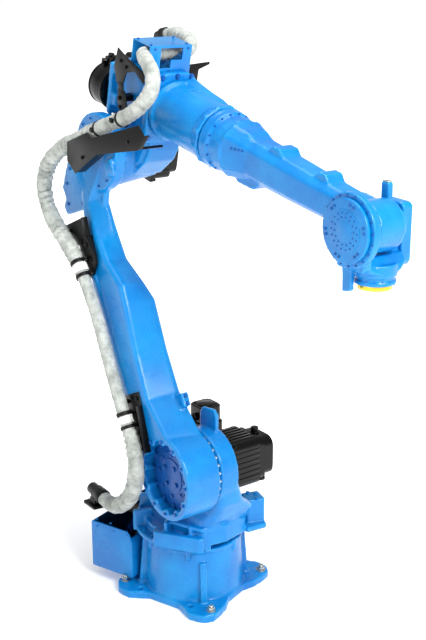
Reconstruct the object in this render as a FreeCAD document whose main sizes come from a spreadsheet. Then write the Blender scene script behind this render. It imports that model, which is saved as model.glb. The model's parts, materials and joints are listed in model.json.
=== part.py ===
# Six-axis articulated industrial robot arm, floor mounted, shown in its
# leaning-back rest attitude.  Units are millimetres.
#
# Row frame: origin on the floor under the swivel axis, +Z up, +X away from the
# connector box on the base, +Y to the left when looking along +X.
#
# Each group of pieces is drawn in the local frame of the link that carries it:
#   base    the row frame itself
#   turret  turned about the swivel axis
#   arm     origin on the shoulder axis, local z up the lower arm
#   upper   origin on the elbow axis, local x along the forearm
#   wrist   origin on the wrist bend axis, local -z towards the tool
# In all of them local y is parallel to the shoulder, elbow and bend axes.
import FreeCAD, Part
import Sketcher
import math, os
from FreeCAD import Vector as V, Placement, Rotation

doc = FreeCAD.newDocument("robot_arm")
sheet = doc.addObject("Spreadsheet::Sheet", "dims")

CELLS = [
    # attitude of the links at rest, degrees
    ("swivel_rest", -20.5), ("lean_rest", -25.93), ("pitch_rest", 12.55),
    # link lengths
    ("shoulder_offset", 145), ("shoulder_height", 540), ("lower_arm_len", 1150),
    ("elbow_offset", 210), ("forearm_len", 1225), ("tool_offset", 175),
    # base
    ("plate_thick", 28), ("pedestal_foot", 182), ("pedestal_top", 173),
    ("pedestal_high", 228), ("foot_hole_rad", 9), ("foot_hole_x", 110),
    ("foot_hole_y", 183), ("corner_bolt_x", 189), ("corner_bolt_y", 169),
    ("box_wall", 8), ("box_low", 46), ("box_high", 230), ("box_back", -345),
    ("box_half", 168),
    # turret
    ("skirt_rad", 178), ("skirt_low", 240), ("skirt_high", 290),
    ("drum_rad", 138), ("drum_near", -78), ("drum_far", -8),
    ("motor_half", 85),
    # lower arm
    ("arm_near", -225), ("arm_far", -93), ("arm_boss_rad", 150),
    ("arm_recess_rad", 126), ("arm_recess_deep", 50),
    ("arm_top_rad", 137), ("arm_top_near", -160), ("arm_top_far", -117),
    # upper arm
    ("elbow_near", -112), ("elbow_far", 60), ("elbow_boss_rad", 122),
    ("housing_rad", 93), ("housing_start", 215), ("housing_end", 494),
    ("fore_ring_rad", 97), ("fore_start", 500), ("fore_half", 56),
    # wrist
    ("cheek_rad", 104), ("barrel_rad", 74), ("cheek_near", -108),
    ("cheek_gap", 62), ("flange_rad", 49), ("flange_thick", 14),
    ("tool_bolt_circle", 80), ("tool_bolt_rad", 4),
    # dress hose
    ("hose_rad", 25), ("clamp_rad", 30),
]
for row, (alias, value) in enumerate(CELLS, 1):
    sheet.set("A%d" % row, alias)
    sheet.set("B%d" % row, str(value))
    sheet.setAlias("B%d" % row, alias)
doc.recompute()


def d(alias):
    return float(sheet.get(alias))


def ev(x):
    """A size is a plain number or the name of a cell."""
    return d(x) if isinstance(x, str) else float(x)


def bind(obj, prop, x, minus=None):
    if isinstance(x, str):
        obj.setExpression(prop, "dims." + x)
    else:
        setattr(obj, prop, x)


# ---------------------------------------------------------------- link frames
def ry(angle):
    return Rotation(V(0, 1, 0), angle)


T_BASE = Placement()
T_TURRET = Placement(V(0, 0, 0), Rotation(V(0, 0, 1), d("swivel_rest")))
T_ARM = T_TURRET.multiply(Placement(
    V(d("shoulder_offset"), 0, d("shoulder_height")), ry(d("lean_rest"))))
T_UPPER = T_ARM.multiply(Placement(
    V(0, 0, d("lower_arm_len")), ry(d("pitch_rest") - d("lean_rest"))))
T_WRIST = T_UPPER.multiply(Placement(
    V(d("forearm_len"), 0, d("elbow_offset")), ry(-d("pitch_rest"))))

NODES = []


def node(obj, name, frame):
    obj.Label = name
    obj.Placement = frame
    NODES.append((obj, name))
    return obj


AX = {"x": Rotation(V(0, 1, 0), 90), "y": Rotation(V(1, 0, 0), -90),
      "z": Rotation()}
_n = [0]


def nm(stem):
    _n[0] += 1
    return "%s_%03d" % (stem, _n[0])


def box(x0, x1, y0, y1, z0, z1):
    o = doc.addObject("Part::Box", nm("box"))
    o.Length, o.Width, o.Height = x1 - x0, y1 - y0, z1 - z0
    o.Placement = Placement(V(x0, y0, z0), Rotation())
    return o


def cyl(r, h, at, axis="z"):
    o = doc.addObject("Part::Cylinder", nm("cyl"))
    bind(o, "Radius", r)
    bind(o, "Height", h)
    o.Placement = Placement(V(*at), AX[axis] if isinstance(axis, str) else axis)
    return o


def cone(r1, r2, h, at, axis="z"):
    o = doc.addObject("Part::Cone", nm("cone"))
    bind(o, "Radius1", r1)
    bind(o, "Radius2", r2)
    bind(o, "Height", h)
    o.Placement = Placement(V(*at), AX[axis] if isinstance(axis, str) else axis)
    return o


def fuse(*shapes):
    if len(shapes) == 1:
        return shapes[0]
    o = doc.addObject("Part::MultiFuse", nm("fuse"))
    o.Shapes = list(shapes)
    return o


def cut(base, *tools):
    o = doc.addObject("Part::Cut", nm("cut"))
    o.Base = base
    o.Tool = tools[0] if len(tools) == 1 else fuse(*tools)
    return o


def rounded(pts, r):
    """Outline of straight runs with tangent corner arcs.

    pts holds (u, v) or (u, v, radius)."""
    n = len(pts)
    out = []
    for i in range(n):
        p0, p1, p2 = pts[i - 1], pts[i], pts[(i + 1) % n]
        rr = p1[2] if len(p1) > 2 else r
        a = V(p0[0] - p1[0], p0[1] - p1[1], 0)
        b = V(p2[0] - p1[0], p2[1] - p1[1], 0)
        la, lb = a.Length, b.Length
        a.normalize()
        b.normalize()
        ang = math.acos(max(-1, min(1, a.dot(b))))
        if rr <= 0 or abs(ang - math.pi) < 1e-3:
            out.append((V(p1[0], p1[1], 0),) * 3)
            continue
        t = min(rr / math.tan(ang / 2), 0.49 * la, 0.49 * lb)
        rr = t * math.tan(ang / 2)
        c = V(p1[0], p1[1], 0)
        s, e = c + a * t, c + b * t
        bis = (a + b).normalize()
        cen = c + bis * (rr / math.sin(ang / 2))
        out.append((s, cen - bis * rr, e))
    return out


def arc_of(s, m, e):
    """Arc through three points of the sketch plane, always counter-clockwise."""
    turn = (m - s).cross(e - m).z
    if turn < 0:
        s, e = e, s
    c = Part.Arc(s, m, e).toShape().Curve.Center
    r = (s - c).Length
    a0 = math.atan2(s.y - c.y, s.x - c.x)
    a1 = math.atan2(e.y - c.y, e.x - c.x)
    if a1 < a0:
        a1 += 2 * math.pi
    return Part.ArcOfCircle(Part.Circle(c, V(0, 0, 1), r), a0, a1)


def outline(sk, pts, r):
    q = rounded(pts, r)
    n = len(q)
    geo = []
    for i in range(n):
        s, m, e = q[i]
        if (s - e).Length > 1e-6:
            geo.append(arc_of(s, m, e))
        nx = q[(i + 1) % n][0]
        if (e - nx).Length > 1e-6:
            geo.append(Part.LineSegment(e, nx))
    ids = sk.addGeometry(geo, False)
    k = len(ids)
    for i in range(k):
        j = (i + 1) % k
        sk.addConstraint(Sketcher.Constraint(
            "Coincident", *meet(geo[i], geo[j], ids[i], ids[j])))


def endpoint(g, which):
    return g.StartPoint if which == 1 else g.EndPoint


def ends_meet(g, h, i, j):
    return (endpoint(g, i) - endpoint(h, j)).Length < 1e-5


def meet(g, h, gi, hi):
    for i in (2, 1):
        for j in (1, 2):
            if ends_meet(g, h, i, j):
                return gi, i, hi, j
    raise RuntimeError("outline is open")


# Part sketches: plane "xz" is drawn as (x, z) and extruded along +y.
PLANES = {"xy": Rotation(), "xz": Rotation(V(1, 0, 0), 90),
          "yz": Rotation(V(1, 1, 1), 120)}


def sketch(pts, r=0, plane="xy", off=0.0):
    sk = doc.addObject("Sketcher::SketchObject", nm("profile"))
    rot = PLANES[plane]
    base = {"xy": V(0, 0, off), "xz": V(0, off, 0), "yz": V(off, 0, 0)}[plane]
    sk.Placement = Placement(base, rot)
    outline(sk, pts, r)
    return sk


def prism(pts, lo, hi, plane="xz", r=0):
    """Profile extruded between two stations of the third axis."""
    sk = sketch(pts, r, plane, lo)
    o = doc.addObject("Part::Extrusion", nm("prism"))
    o.Base = sk
    o.DirMode = "Custom"
    o.Dir = {"xy": V(0, 0, 1), "xz": V(0, 1, 0), "yz": V(1, 0, 0)}[plane]
    o.LengthFwd = hi - lo
    o.Solid = True
    return o


def rect(u0, u1, v0, v1):
    return [(u0, v0), (u1, v0), (u1, v1), (u0, v1)]


def loft(sections, plane="xy", ruled=True):
    """sections: (station, points, radius)."""
    sks = [sketch(p, r, plane, s) for s, p, r in sections]
    o = doc.addObject("Part::Loft", nm("loft"))
    o.Sections = sks
    o.Solid = True
    o.Ruled = ruled
    return o


def placed(o, at=(0, 0, 0), rot=None):
    o.Placement = Placement(V(*at), rot or Rotation())
    return o


# Design bodies: sketches on the body's own origin planes.
def plane_of(body, role):
    for f in body.Origin.OriginFeatures:
        if f.Role == role:
            return f
    raise RuntimeError(role)


def body_sketch(body, pts, r=0, role="XY_Plane", off=0.0):
    sk = body.newObject("Sketcher::SketchObject", nm("sketch"))
    sk.AttachmentSupport = [(plane_of(body, role), "")]
    sk.MapMode = "FlatFace"
    sk.AttachmentOffset = Placement(V(0, 0, off), Rotation())
    if pts:
        outline(sk, pts, r)
    return sk


def body_circles(body, circles, role="XY_Plane", off=0.0):
    sk = body_sketch(body, None, 0, role, off)
    for (u, v, r) in circles:
        i = sk.addGeometry(Part.Circle(V(u, v, 0), V(0, 0, 1), ev(r)), False)
        c = sk.addConstraint(Sketcher.Constraint("Radius", i, ev(r)))
        if isinstance(r, str):
            sk.setExpression("Constraints[%d]" % c, "dims." + r)
    return sk


def pad(body, sk, length, rev=False):
    p = body.newObject("PartDesign::Pad", nm("pad"))
    p.Profile = sk
    bind(p, "Length", length)
    p.Reversed = rev
    body.Tip = p
    return p


def pocket(body, sk, length, rev=False):
    p = body.newObject("PartDesign::Pocket", nm("pocket"))
    p.Profile = sk
    bind(p, "Length", length)
    p.Reversed = rev
    body.Tip = p
    return p


# ------------------------------------------------------------------ tube runs
def tube_path(pts, tight=0.45):
    """Straight runs joined by tangent arcs, and the radii of the arcs."""
    P = [V(*p) for p in pts]
    edges, radii = [], []
    prev = P[0]
    for i in range(1, len(P) - 1):
        a, b = (P[i - 1] - P[i]), (P[i + 1] - P[i])
        la, lb = a.Length, b.Length
        a.normalize()
        b.normalize()
        ang = math.acos(max(-1, min(1, a.dot(b))))
        t = tight * min(la, lb)
        r = t * math.tan(ang / 2)
        bis = (a + b).normalize()
        cen = P[i] + bis * (r / math.sin(ang / 2))
        s, m, e = P[i] + a * t, cen - bis * r, P[i] + b * t
        edges.append(Part.LineSegment(prev, s).toShape())
        edges.append(Part.Arc(s, m, e).toShape())
        radii.append(r)
        prev = e
    edges.append(Part.LineSegment(prev, P[-1]).toShape())
    return Part.Wire(edges), radii, P


def tube(name, pts, frame, radius):
    wire, radii, P = tube_path(pts)
    r = ev(radius)
    ring = Part.Wire([Part.makeCircle(r, P[0], P[1] - P[0])])
    shape = wire.makePipeShell([ring], True, False)
    if shape.ShapeType != "Solid":
        shape = Part.Solid(shape) if shape.ShapeType == "Shell" else shape.Solids[0]
    want = math.pi * r * r * wire.Length
    print("%s: length %.0f mm, radii %s, volume ratio %.4f" % (
        name, wire.Length, [round(x) for x in radii], shape.Volume / want))
    o = doc.addObject("Part::Feature", name)
    o.Shape = shape
    return node(o, name, frame)


# ======================================================================= BASE
hx, hy = d("foot_hole_x"), d("foot_hole_y")
cx, cy = d("corner_bolt_x"), d("corner_bolt_y")
quad = [(188, 50), (206, 95), (214, 150), (212, 185), (190, 212), (160, 222),
        (130, 223), (98, 205), (66, 188)]
foot = (quad + [(-x, y) for x, y in reversed(quad)] +
        [(-x, -y) for x, y in quad] + [(x, -y) for x, y in reversed(quad)])
base = doc.addObject("PartDesign::Body", "base_body")
pad(base, body_sketch(base, foot, 14), "plate_thick")
pad(base, body_circles(base, [(0, 0, "pedestal_foot")], off=20), 20)
pocket(base, body_circles(
    base, [(sx * hx, sy * hy, "foot_hole_rad") for sx in (1, -1) for sy in (1, -1)] +
    [(sx * cx, sy * cy, 9.5) for sx in (1, -1) for sy in (1, -1)], off=40), 60)
pedestal = cone("pedestal_foot", "pedestal_top", d("pedestal_high") - 28, (0, 0, 28))
rim = cyl(176.5, 12, (0, 0, d("pedestal_high") - 12))
ribs = []
for a, top in ((45, 226), (135, 226), (-135, 214), (-45, 180)):
    rb = prism([(150, 20), (205, 20), (203, 40), (188, top), (150, top)], -12, 12)
    rb.Placement = Placement(V(0, 0, 0), Rotation(V(0, 0, 1), a)).multiply(
        Placement(V(0, 0, 0), Rotation()))
    ribs.append(rb)
node(fuse(base, pedestal, rim, *ribs), "base_casting", T_BASE)

# four hexagon bolts with washers in the corners of the foot
bolts = []
for sx in (1, -1):
    for sy in (1, -1):
        x, y = sx * cx, sy * cy
        bolts += [cyl(8.5, 30, (x, y, 0)), cyl(16, 4, (x, y, 28)),
                  prism([(x + 12.5 * math.cos(math.radians(60 * k)),
                          y + 12.5 * math.sin(math.radians(60 * k)))
                         for k in range(6)], 31.5, 44, "xy")]
node(fuse(*bolts), "anchor_bolts", T_BASE)

# connector box behind the pedestal, open above next to it
bh, bw = d("box_half"), d("box_wall")
bx, zl, zh = d("box_back"), d("box_low"), d("box_high")
outer = prism([(bx, zl), (-157, zl), (-157, 190), (-168, 214), (-182, zh), (bx, zh)],
              -bh, bh, "xz", 6)
inner = box(bx + bw, -165, -bh + bw, bh - bw, zl + bw, zh + 40)
clear = cyl(183.5, 300, (0, 0, 0))
box_shell = cut(outer, inner, clear)
node(box_shell, "connector_box", T_BASE)
lid = cut(box(bx + bw + 0.5, -262, -bh + bw + 0.5, bh - bw - 0.5, zh - 7, zh - 1),
          cyl(12, 40, (-306, 60, 200)))
node(lid, "connector_lid", T_BASE)
# sockets on the rear wall
plugs = []
for y, z, r in ((-95, 150, 30), (-10, 150, 30), (75, 165, 16), (120, 165, 16)):
    plugs += [cyl(r, 26, (bx - 26, y, z), "x"), cyl(r + 5, 5, (bx - 5, y, z), "x")]
plugs.append(box(bx - 4, bx, -135, 145, 105, 195))
node(fuse(*plugs), "base_connectors", T_BASE)

# ===================================================================== TURRET
rs = d("skirt_rad")
sx0, sz0 = d("shoulder_offset"), d("shoulder_height")
yn, yf = d("drum_near"), d("drum_far")
skirt = cyl("skirt_rad", d("skirt_high") - d("skirt_low"), (0, 0, d("skirt_low")))


def neck_():
    return loft([(286, rect(-150, 172, -118, 118), 60),
                 (350, rect(-110, 215, -96, 118), 45),
                 (384, rect(-84, 236, -77, 104), 36),
                 (430, rect(-30, 262, -77, 40), 30),
                 (540, rect(10, 280, -77, -9), 20)])


def front_():
    return prism([(60, -150), (195, -95), (215, -10), (190, 95), (60, 150)],
                 262, 330, "xy", 18)


def rear_():
    return prism([(-40, -158), (-178, -120), (-196, 0), (-178, 120), (-40, 158)],
                 244, 286, "xy", 20)


neck = neck_()
drum = cyl("drum_rad", yf - yn, (sx0, yn, sz0), "y")
seat = cyl(128, 4.5, (sx0, yn - 4.5, sz0), "y")
smx, smy = -80, 112
smount = prism([(smx - 62, smy - 62), (smx + 70, smy - 62),
                (smx + 70, smy + 62), (smx - 62, smy + 62)], 262, 290, "xy", 10)
turret = fuse(skirt, neck, drum, seat, front_(), rear_(), smount)
node(turret, "turret_casting", T_TURRET)

# front bumper plate bolted on the near front of the skirt
bump = prism([(34, -196), (60, -214), (200, -118), (206, -100), (196, -96),
              (60, -186), (40, -180)], 243, 300, "xy", 4)
node(cut(bump, cyl(179, 300, (0, 0, 200)),
         prism([(60, -150), (195, -95), (215, -10), (190, 95), (60, 150)],
               200, 340, "xy", 18)), "turret_bumper", T_TURRET)

# stop block on the far front of the turret
node(cut(prism([(110, 130), (176, 112), (196, 178), (128, 196)], 262, 372,
               "xy", 6),
         prism([(60, -150), (195, -95), (215, -10), (190, 95), (60, 150)],
               200, 340, "xy", 18), cyl("skirt_rad", 60, (0, 0, 235)),
         neck_()), "turret_stop", T_TURRET)

# lifting plate on the drum
node(cut(prism([(88, 640), (88, 722), (102, 742), (168, 752), (184, 734), (184, 640)],
               -34, -21, "xz", 8),
         cyl(d("drum_rad") + 0.5, 200, (sx0, -100, sz0), "y")), "lifting_plate", T_TURRET)

# swivel motor, upright behind the drum
s_motor = fuse(prism([(smx - 62, smy - 62), (smx + 62, smy - 62),
                      (smx + 62, smy + 62), (smx - 62, smy + 62)], 290.5, 320, "xy", 8),
               prism([(smx - 56, smy - 56), (smx + 56, smy - 56),
                      (smx + 56, smy + 56), (smx - 56, smy + 56)], 318, 600, "xy", 18),
               prism([(smx - 50, smy - 50), (smx + 50, smy - 50),
                      (smx + 50, smy + 50), (smx - 50, smy + 50)], 598, 668, "xy", 22))
node(cut(s_motor, neck_()), "swivel_motor", T_TURRET)

# shoulder motor on the far side of the drum
mh = d("motor_half")
l_motor = fuse(
    prism(rect(sx0 - mh - 6, sx0 + mh + 6, sz0 - mh - 6, sz0 + mh + 6), yf + 0.5, yf + 20, "xz", 14),
    prism(rect(sx0 - mh, sx0 + mh, sz0 - mh, sz0 + mh), yf + 18, 130, "xz", 26),
    prism(rect(sx0 - 72, sx0 + 72, sz0 - 72, sz0 + 72), 128, 196, "xz", 34),
    box(sx0 - 34, sx0 + 34, 140, 186, sz0 - 108, sz0 - 70))
l_motor = cut(l_motor, neck_())
node(l_motor, "shoulder_motor", T_TURRET)

# socket of the dress hose on the rear of the turret
HL = [(-250, -229, 312), (-200, -231, 308), (-148, -234, 322), (-92, -240, 356),
      (-38, -248, 402), (4, -256, 454), (26, -259, 510), (28, -259, 566), (16, -259, 620)]
bracket = prism([(-348, -262), (-270, -262), (-262, -205), (-150, -150), (-84, -112),
                 (-84, -80), (-160, -90), (-348, -205)], 264, 274, "xy", 4)
node(cut(bracket, cyl(179, 80, (0, 0, 230)), rear_()), "hose_bracket", T_TURRET)

# ================================================================== LOWER ARM
an, af = d("arm_near"), d("arm_far")


def sec(z, x0, xn, xf, yn, yf_, r):
    return (z, [(x0, yn), (xn, yn), (xf, yf_), (x0, yf_)], r)


secs = [
    sec(0, -149, 149, 149, an, af, 4),
    sec(140, -146, 76, 88, an, af, 8),
    sec(268, -138, 18, 42, an, af, 14),
    sec(420, -132, 20, 36, an, af, 18),
    sec(600, -131, 38, 44, an, af - 1, 20),
    sec(668, -135, 50, 6, an + 2, -100, 20),
    sec(770, -147, -20, -44, -215, -112, 20),
    sec(900, -150, -78, -41, -199, -116, 18),
    sec(1000, -147, -92, -42, -184, -117, 14),
    sec(1085, -138, 14, 34, -166, -117, 10),
    sec(1150, -136, 136, 136, -160, -117, 4),
]
beam = loft(secs)


def grown(i, j, g=0.4):
    """Stretch of the beam, a little fatter, to trim what sits on it."""
    out = []
    for z, p, r in secs[i:j]:
        out.append((z, [(p[0][0] - g, p[0][1] - g), (p[1][0] + g, p[1][1] - g),
                        (p[2][0] + g, p[2][1] + g), (p[3][0] - g, p[3][1] + g)], r))
    return loft(out)


boss = cyl("arm_boss_rad", af - an, (0, an, 0), "y")
top = cyl("arm_top_rad", d("arm_top_far") - d("arm_top_near"),
          (0, d("arm_top_near"), d("lower_arm_len")), "y")
seat2 = cyl(118, 4.5, (0, d("arm_top_far"), d("lower_arm_len")), "y")
recess = cyl("arm_recess_rad", d("arm_recess_deep") + 10, (0, an - 10, 0), "y")
node(cut(fuse(beam, boss, top, seat2), recess), "lower_arm_casting", T_ARM)
node(fuse(cyl(117, 12, (0, an + 38, 0), "y"), cyl(60, 8, (0, an + 31, 0), "y")),
     "shoulder_cover", T_ARM)
node(cut(box(20, 86, -124, -95, 214, 262), grown(1, 4)), "front_stop", T_ARM)
node(cut(box(60, 110, -178, -160.3, 1040, 1090), grown(8, 11)), "elbow_stop", T_ARM)

# rear bracket that carries the upper hose holder
rb = cut(prism([(-120, 985), (-290, 1008), (-298, 1045), (-268, 1062), (-272, 1108),
                (-225, 1150), (-180, 1185), (-110, 1180), (-100, 1100)], -172, -146, "xz", 10),
         grown(7, 11), cyl(137.5, 60, (0, -190, 1150), "y"))
node(rb, "rear_bracket", T_ARM)

# hose holders: angled sheets on the near face with a saddle each
lower_hold = fuse(
    prism([(-115, 305), (-10, 305), (-12, 258), (-32, 96), (-112, 96)], -229, -225.3, "xz", 4),
    prism([(-12.5, 258), (-32.5, 96), (-37, 96), (-17, 258)], -246, -226, "xz"))
node(lower_hold, "lower_hose_holder", T_ARM)

HA = [(-84, -259, 176), (-92, -260, 262), (-97, -260, 360), (-98, -260, 460),
      (-97, -260, 560), (-104, -260, 650), (-120, -260, 735), (-140, -260, 806)]


def on_line(p, q, a, b):
    """Two points of the line p-q, at distances a and b from p."""
    P, Q = V(*p), V(*q)
    u = (Q - P).normalize()
    return tuple(P + u * a), tuple(P + u * b)


def ring_clamp(p, q, a, b, foot=None):
    """Saddle around the hose between distances a and b along p-q."""
    P, Q = V(*p), V(*q)
    u = (Q - P).normalize()
    s = P + u * a
    rot = Rotation(V(0, 0, 1), u)
    solid = cyl("clamp_rad", b - a, tuple(s), rot)
    hole = cyl(d("hose_rad") + 0.4, b - a + 20, tuple(s - u * 10), rot)
    if foot is None:
        return cut(solid, hole)
    return cut(fuse(solid, foot), hole)


# saddles: the feet bear on the holder sheets
node(fuse(ring_clamp(HA[0], HA[1], 26, 40, box(-98, -74, -240, -229.1, 204, 214)),
          ring_clamp(HA[0], HA[1], 58, 72, box(-101, -77, -240, -229.1, 236, 246)),
          ring_clamp(HA[6], HA[7], 8, 22, box(-134, -110, -240, -229.1, 744, 754)),
          ring_clamp(HA[6], HA[7], 46, 60, box(-145, -121, -240, -229.1, 782, 792))),
     "arm_hose_clamps", T_ARM)
up_hold = prism([(-245, 905), (-245, 930), (-235, 955), (-80, 945), (-90, 880), (-62, 800),
                 (-70, 775), (-98, 742), (-150, 735), (-152, 860)], -229, -224, "xz", 8)
up_block = prism([(-146, 770), (-80, 770), (-88, 880), (-148, 890)], -224.5, -196, "xz")
node(cut(fuse(up_hold, up_block), grown(5, 9)), "upper_hose_holder", T_ARM)

# ================================================================== UPPER ARM
en, ef = d("elbow_near"), d("elbow_far")
side = [(-62, 118), (-62, 312, 14), (30, 320, 20), (190, 322, 4), (190, 60, 20),
        (170, 14, 40), (100, -60, 40), (0, -108, 50), (-86, -60, 50), (-100, 40, 50)]
elbow = fuse(prism(side, -62, ef, "xz", 20),
             cyl("elbow_boss_rad", 30, (0, en, 0), "y"),
             cone("elbow_boss_rad", 104, 141.5, (0, -82, 0), "y"))
face = prism([(-106, 100), (106, 100), (106, 262, 70), (64, 336, 60),
              (-64, 336, 60), (-106, 262, 70)], 188, 215, "yz", 18)
node(fuse(elbow, face), "elbow_casting", T_UPPER)

hs, he = d("housing_start"), d("housing_end")
axz = d("elbow_offset")
housing = fuse(
    cone(101, 93, 40, (hs + 0.2, 0, axz), "x"),
    cyl("housing_rad", he - hs - 40, (hs + 40, 0, axz), "x"),
    cyl(99, 30, (he - 30, 0, axz), "x"))
ridge = loft([(hs + 0.2, [(24, axz + 60), (86, axz + 36), (86, axz + 76), (64, axz + 103),
                          (24, axz + 103)], 10),
              (400, [(24, axz + 60), (80, axz + 36), (80, axz + 66), (58, axz + 92),
                     (24, axz + 92)], 10),
              (465, [(24, axz + 60), (76, axz + 36), (76, axz + 56), (54, axz + 80),
                     (24, axz + 80)], 10)], "yz")
node(fuse(housing, ridge), "roll_housing", T_UPPER)

# rear motor plate and the three wrist-side motors
mp = prism([(-74, 122), (130, 122), (130, 300), (-74, 300)], -82, -62.5, "yz", 22)
node(mp, "motor_plate", T_UPPER)


def motor_x(y, z, half, x1, x0, name, conn):
    m = fuse(
        prism([(y - half - 4, z - half - 4), (y + half + 4, z - half - 4),
               (y + half + 4, z + half + 4), (y - half - 4, z + half + 4)],
              x1 - 14, x1, "yz", 6),
        prism([(y - half, z - half), (y + half, z - half), (y + half, z + half),
               (y - half, z + half)], x0 + 50, x1 - 12, "yz", 10),
        prism([(y - half + 3, z - half + 3), (y + half - 3, z - half + 3),
               (y + half - 3, z + half - 3), (y - half + 3, z + half - 3)],
              x0, x0 + 52, "yz", 14),
        box(x0 + 8, x0 + 44, y - 16, y + 16, z + half - 6, z + half + conn))
    return node(m, name, T_UPPER)


my, mz = -30, 192
node(fuse(cyl(78, 76, (-171, my, mz), "x"), cone(62, 78, 18, (-189, my, mz), "x"),
          cyl(80, 13, (-95.7, my, mz), "x"), box(-166, -126, my - 18, my + 18, mz + 66, mz + 98)),
     "roll_motor", T_UPPER)
motor_x(94, 254, 34, -82.5, -214, "bend_motor", 16)
motor_x(94, 164, 34, -82.5, -198, "twist_motor", 10)

# elbow motor on the far side
ux, uz, uh = -34, -50, 70
node(fuse(
    prism(rect(ux - uh - 5, ux + uh + 5, uz - uh - 5, uz + uh + 5), ef + 0.5, ef + 16, "xz", 12),
    prism(rect(ux - uh, ux + uh, uz - uh, uz + uh), ef + 14, ef + 84, "xz", 24),
    prism(rect(ux - 58, ux + 58, uz - 58, uz + 58), ef + 82, ef + 122, "xz", 28),
    box(ux - 26, ux + 26, ef + 84, ef + 116, uz - 90, uz - 54)), "elbow_motor", T_UPPER)

# sheet cable box on top of the elbow, open on both sides
cb = fuse(
    box(80, 184, -100, 64, 334, 337),
    cut(prism([(183, 324), (187, 324), (187, 421), (183, 421)], -101, 65, "xz"),
        box(170, 200, -56, 30, 372, 412), box(170, 200, -56, -14, 346, 412)),
    box(80, 184, -100, 64, 417, 420),
    box(80, 83, -100, 64, 337, 417),
    box(110, 176, -40, 20, 322.3, 335))
node(cb, "cable_box", T_UPPER)

# tray that holds the dress hose beside the elbow
tray_pts = [(22, -62), (149, 52), (388, 151), (419, 207), (381, 231), (96, 91),
            (75, 104), (-49, 29), (-39, -37)]
tray = fuse(
    prism(tray_pts, -246, -242, "xz", 5),
    prism([(24, -58), (149, 54), (386, 152), (384, 157), (147, 59), (21, -54)],
          -243, -206, "xz"))
hs_cut = fuse(cyl(93.4, 300, (200, 0, axz), "x"))
arm_st = prism([(270, 105), (352, 139), (349, 146), (267, 112)], -210, -60, "xz")
node(fuse(tray, cut(arm_st, hs_cut)), "hose_tray", T_UPPER)

# bent guide sheets beside the elbow
guide = fuse(
    prism([(-10, 300), (4, 368), (60, 352), (120, 340), (175, 330), (182, 300), (176, 292),
           (120, 318), (70, 300), (58, 262), (16, 250)], -108, -104.5, "xz", 4),
    prism([(28, 236), (70, 236), (104, 170), (60, 150), (30, 190)], -108, -104.5, "xz", 4),
    prism([(20, 258), (54, 262), (62, 236), (30, 236)], -108, -104.5, "xz"),
    box(30, 60, -105, -62.3, 196, 216))
node(guide, "hose_guide", T_UPPER)

# bracket on the far side that takes the dress hose
far = fuse(
    prism([(65.3, 270), (104, 270), (106, 334), (148, 350), (148, 358), (65.3, 352)], 180, 184, "yz"),
    box(150, 184, 60.5, 68, 266, 318),
    prism([(-56, 20), (-16, 20), (-16, 60), (-66, 160), (-128, 160), (-128, 128)],
          328, 332, "xy", 4),
    box(-50, -22, 24, 54, 300, 330))
far = cut(far, prism(side, -62, ef + 0.2, "xz", 20),
          prism([(-106, 100), (106, 100), (106, 262, 70), (64, 336, 60),
                 (-64, 336, 60), (-106, 262, 70)], 187.6, 215.4, "yz", 18))
node(far, "far_bracket", T_UPPER)

# hose in the upper arm: along the tray, over the elbow, down the far side
HU = [(64, -210, 102), (119, -210, 136), (181, -210, 172), (248, -208, 212),
      (299, -204, 252), (332, -196, 291), (343, -184, 328), (322, -168, 360),
      (266, -148, 379), (208, -128, 384), (151, -104, 388), (136, -50, 385),
      (134, 0, 383), (136, 46, 381), (131, 82, 382), (111, 114, 388),
      (77, 137, 398), (22, 147, 405), (-28, 147, 399), (-76, 142, 380)]
node(fuse(ring_clamp(HU[0], HU[1], 24, 38, box(80, 98, -241.8, -232, 112, 128)),
          ring_clamp(HU[2], HU[3], 31, 45, box(206, 222, -241.8, -232, 188, 200))),
     "tray_clamps", T_UPPER)

# ==================================================================== FOREARM
fs = d("fore_start")
fh = d("fore_half")
ring = fuse(cyl("fore_ring_rad", 40, (fs, 0, axz), "x"),
            cyl(90, 62, (fs + 38, 0, axz), "x"))
node(ring, "forearm_flange", T_UPPER)


def oct_(hy_, hz_, dz=0.0, k=0.42):
    a, b = k * hy_, k * hz_
    return [(-hy_, axz + dz - hz_ + b), (-hy_ + a, axz + dz - hz_),
            (hy_ - a, axz + dz - hz_), (hy_, axz + dz - hz_ + b),
            (hy_, axz + dz + hz_ - b), (hy_ - a, axz + dz + hz_),
            (-hy_ + a, axz + dz + hz_), (-hy_, axz + dz + hz_ - b)]


bend = d("forearm_len")
fsec = [(fs + 100.5, oct_(84, 86), 14), (640, oct_(74, 76), 14),
        (700, oct_(60, 62), 14), (900, oct_(56, 57, 1), 14),
        (1080, oct_(52, 51, 3), 14), (bend - 60, oct_(50, 48, 4), 14)]
body = loft(fsec, "yz")
tip = cyl("barrel_rad", 93, (bend, -57, axz), "y")
node(fuse(body, prism([(bend - 120, axz - 43), (bend - 62, axz - 45), (bend - 30, axz - 60),
                       (bend - 30, axz + 62), (bend - 62, axz + 51), (bend - 120, axz + 50)], -50, 46, "xz", 8), tip),
     "forearm_casting", T_UPPER)
def trim(i, j):
    return loft([(x, [(y + (0.3 if y > 0 else -0.3), z) for y, z in p], r)
                 for x, p, r in fsec[i:j]], "yz")


pod = cut(prism([(612, 140), (640, 118), (720, 122), (752, 152), (752, 172),
                 (612, 172)], -34, 34, "xz", 8), trim(0, 4))
cap = cut(prism([(768, 258), (782, 286), (818, 286), (846, 258)], -38, 38, "xz", 5), trim(2, 4))
cap2 = cut(prism([(978, 254), (992, 284), (1024, 284), (1046, 254)], -34, 34, "xz", 5), trim(3, 5))
node(fuse(pod, cap, cap2), "forearm_lugs", T_UPPER)

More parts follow.
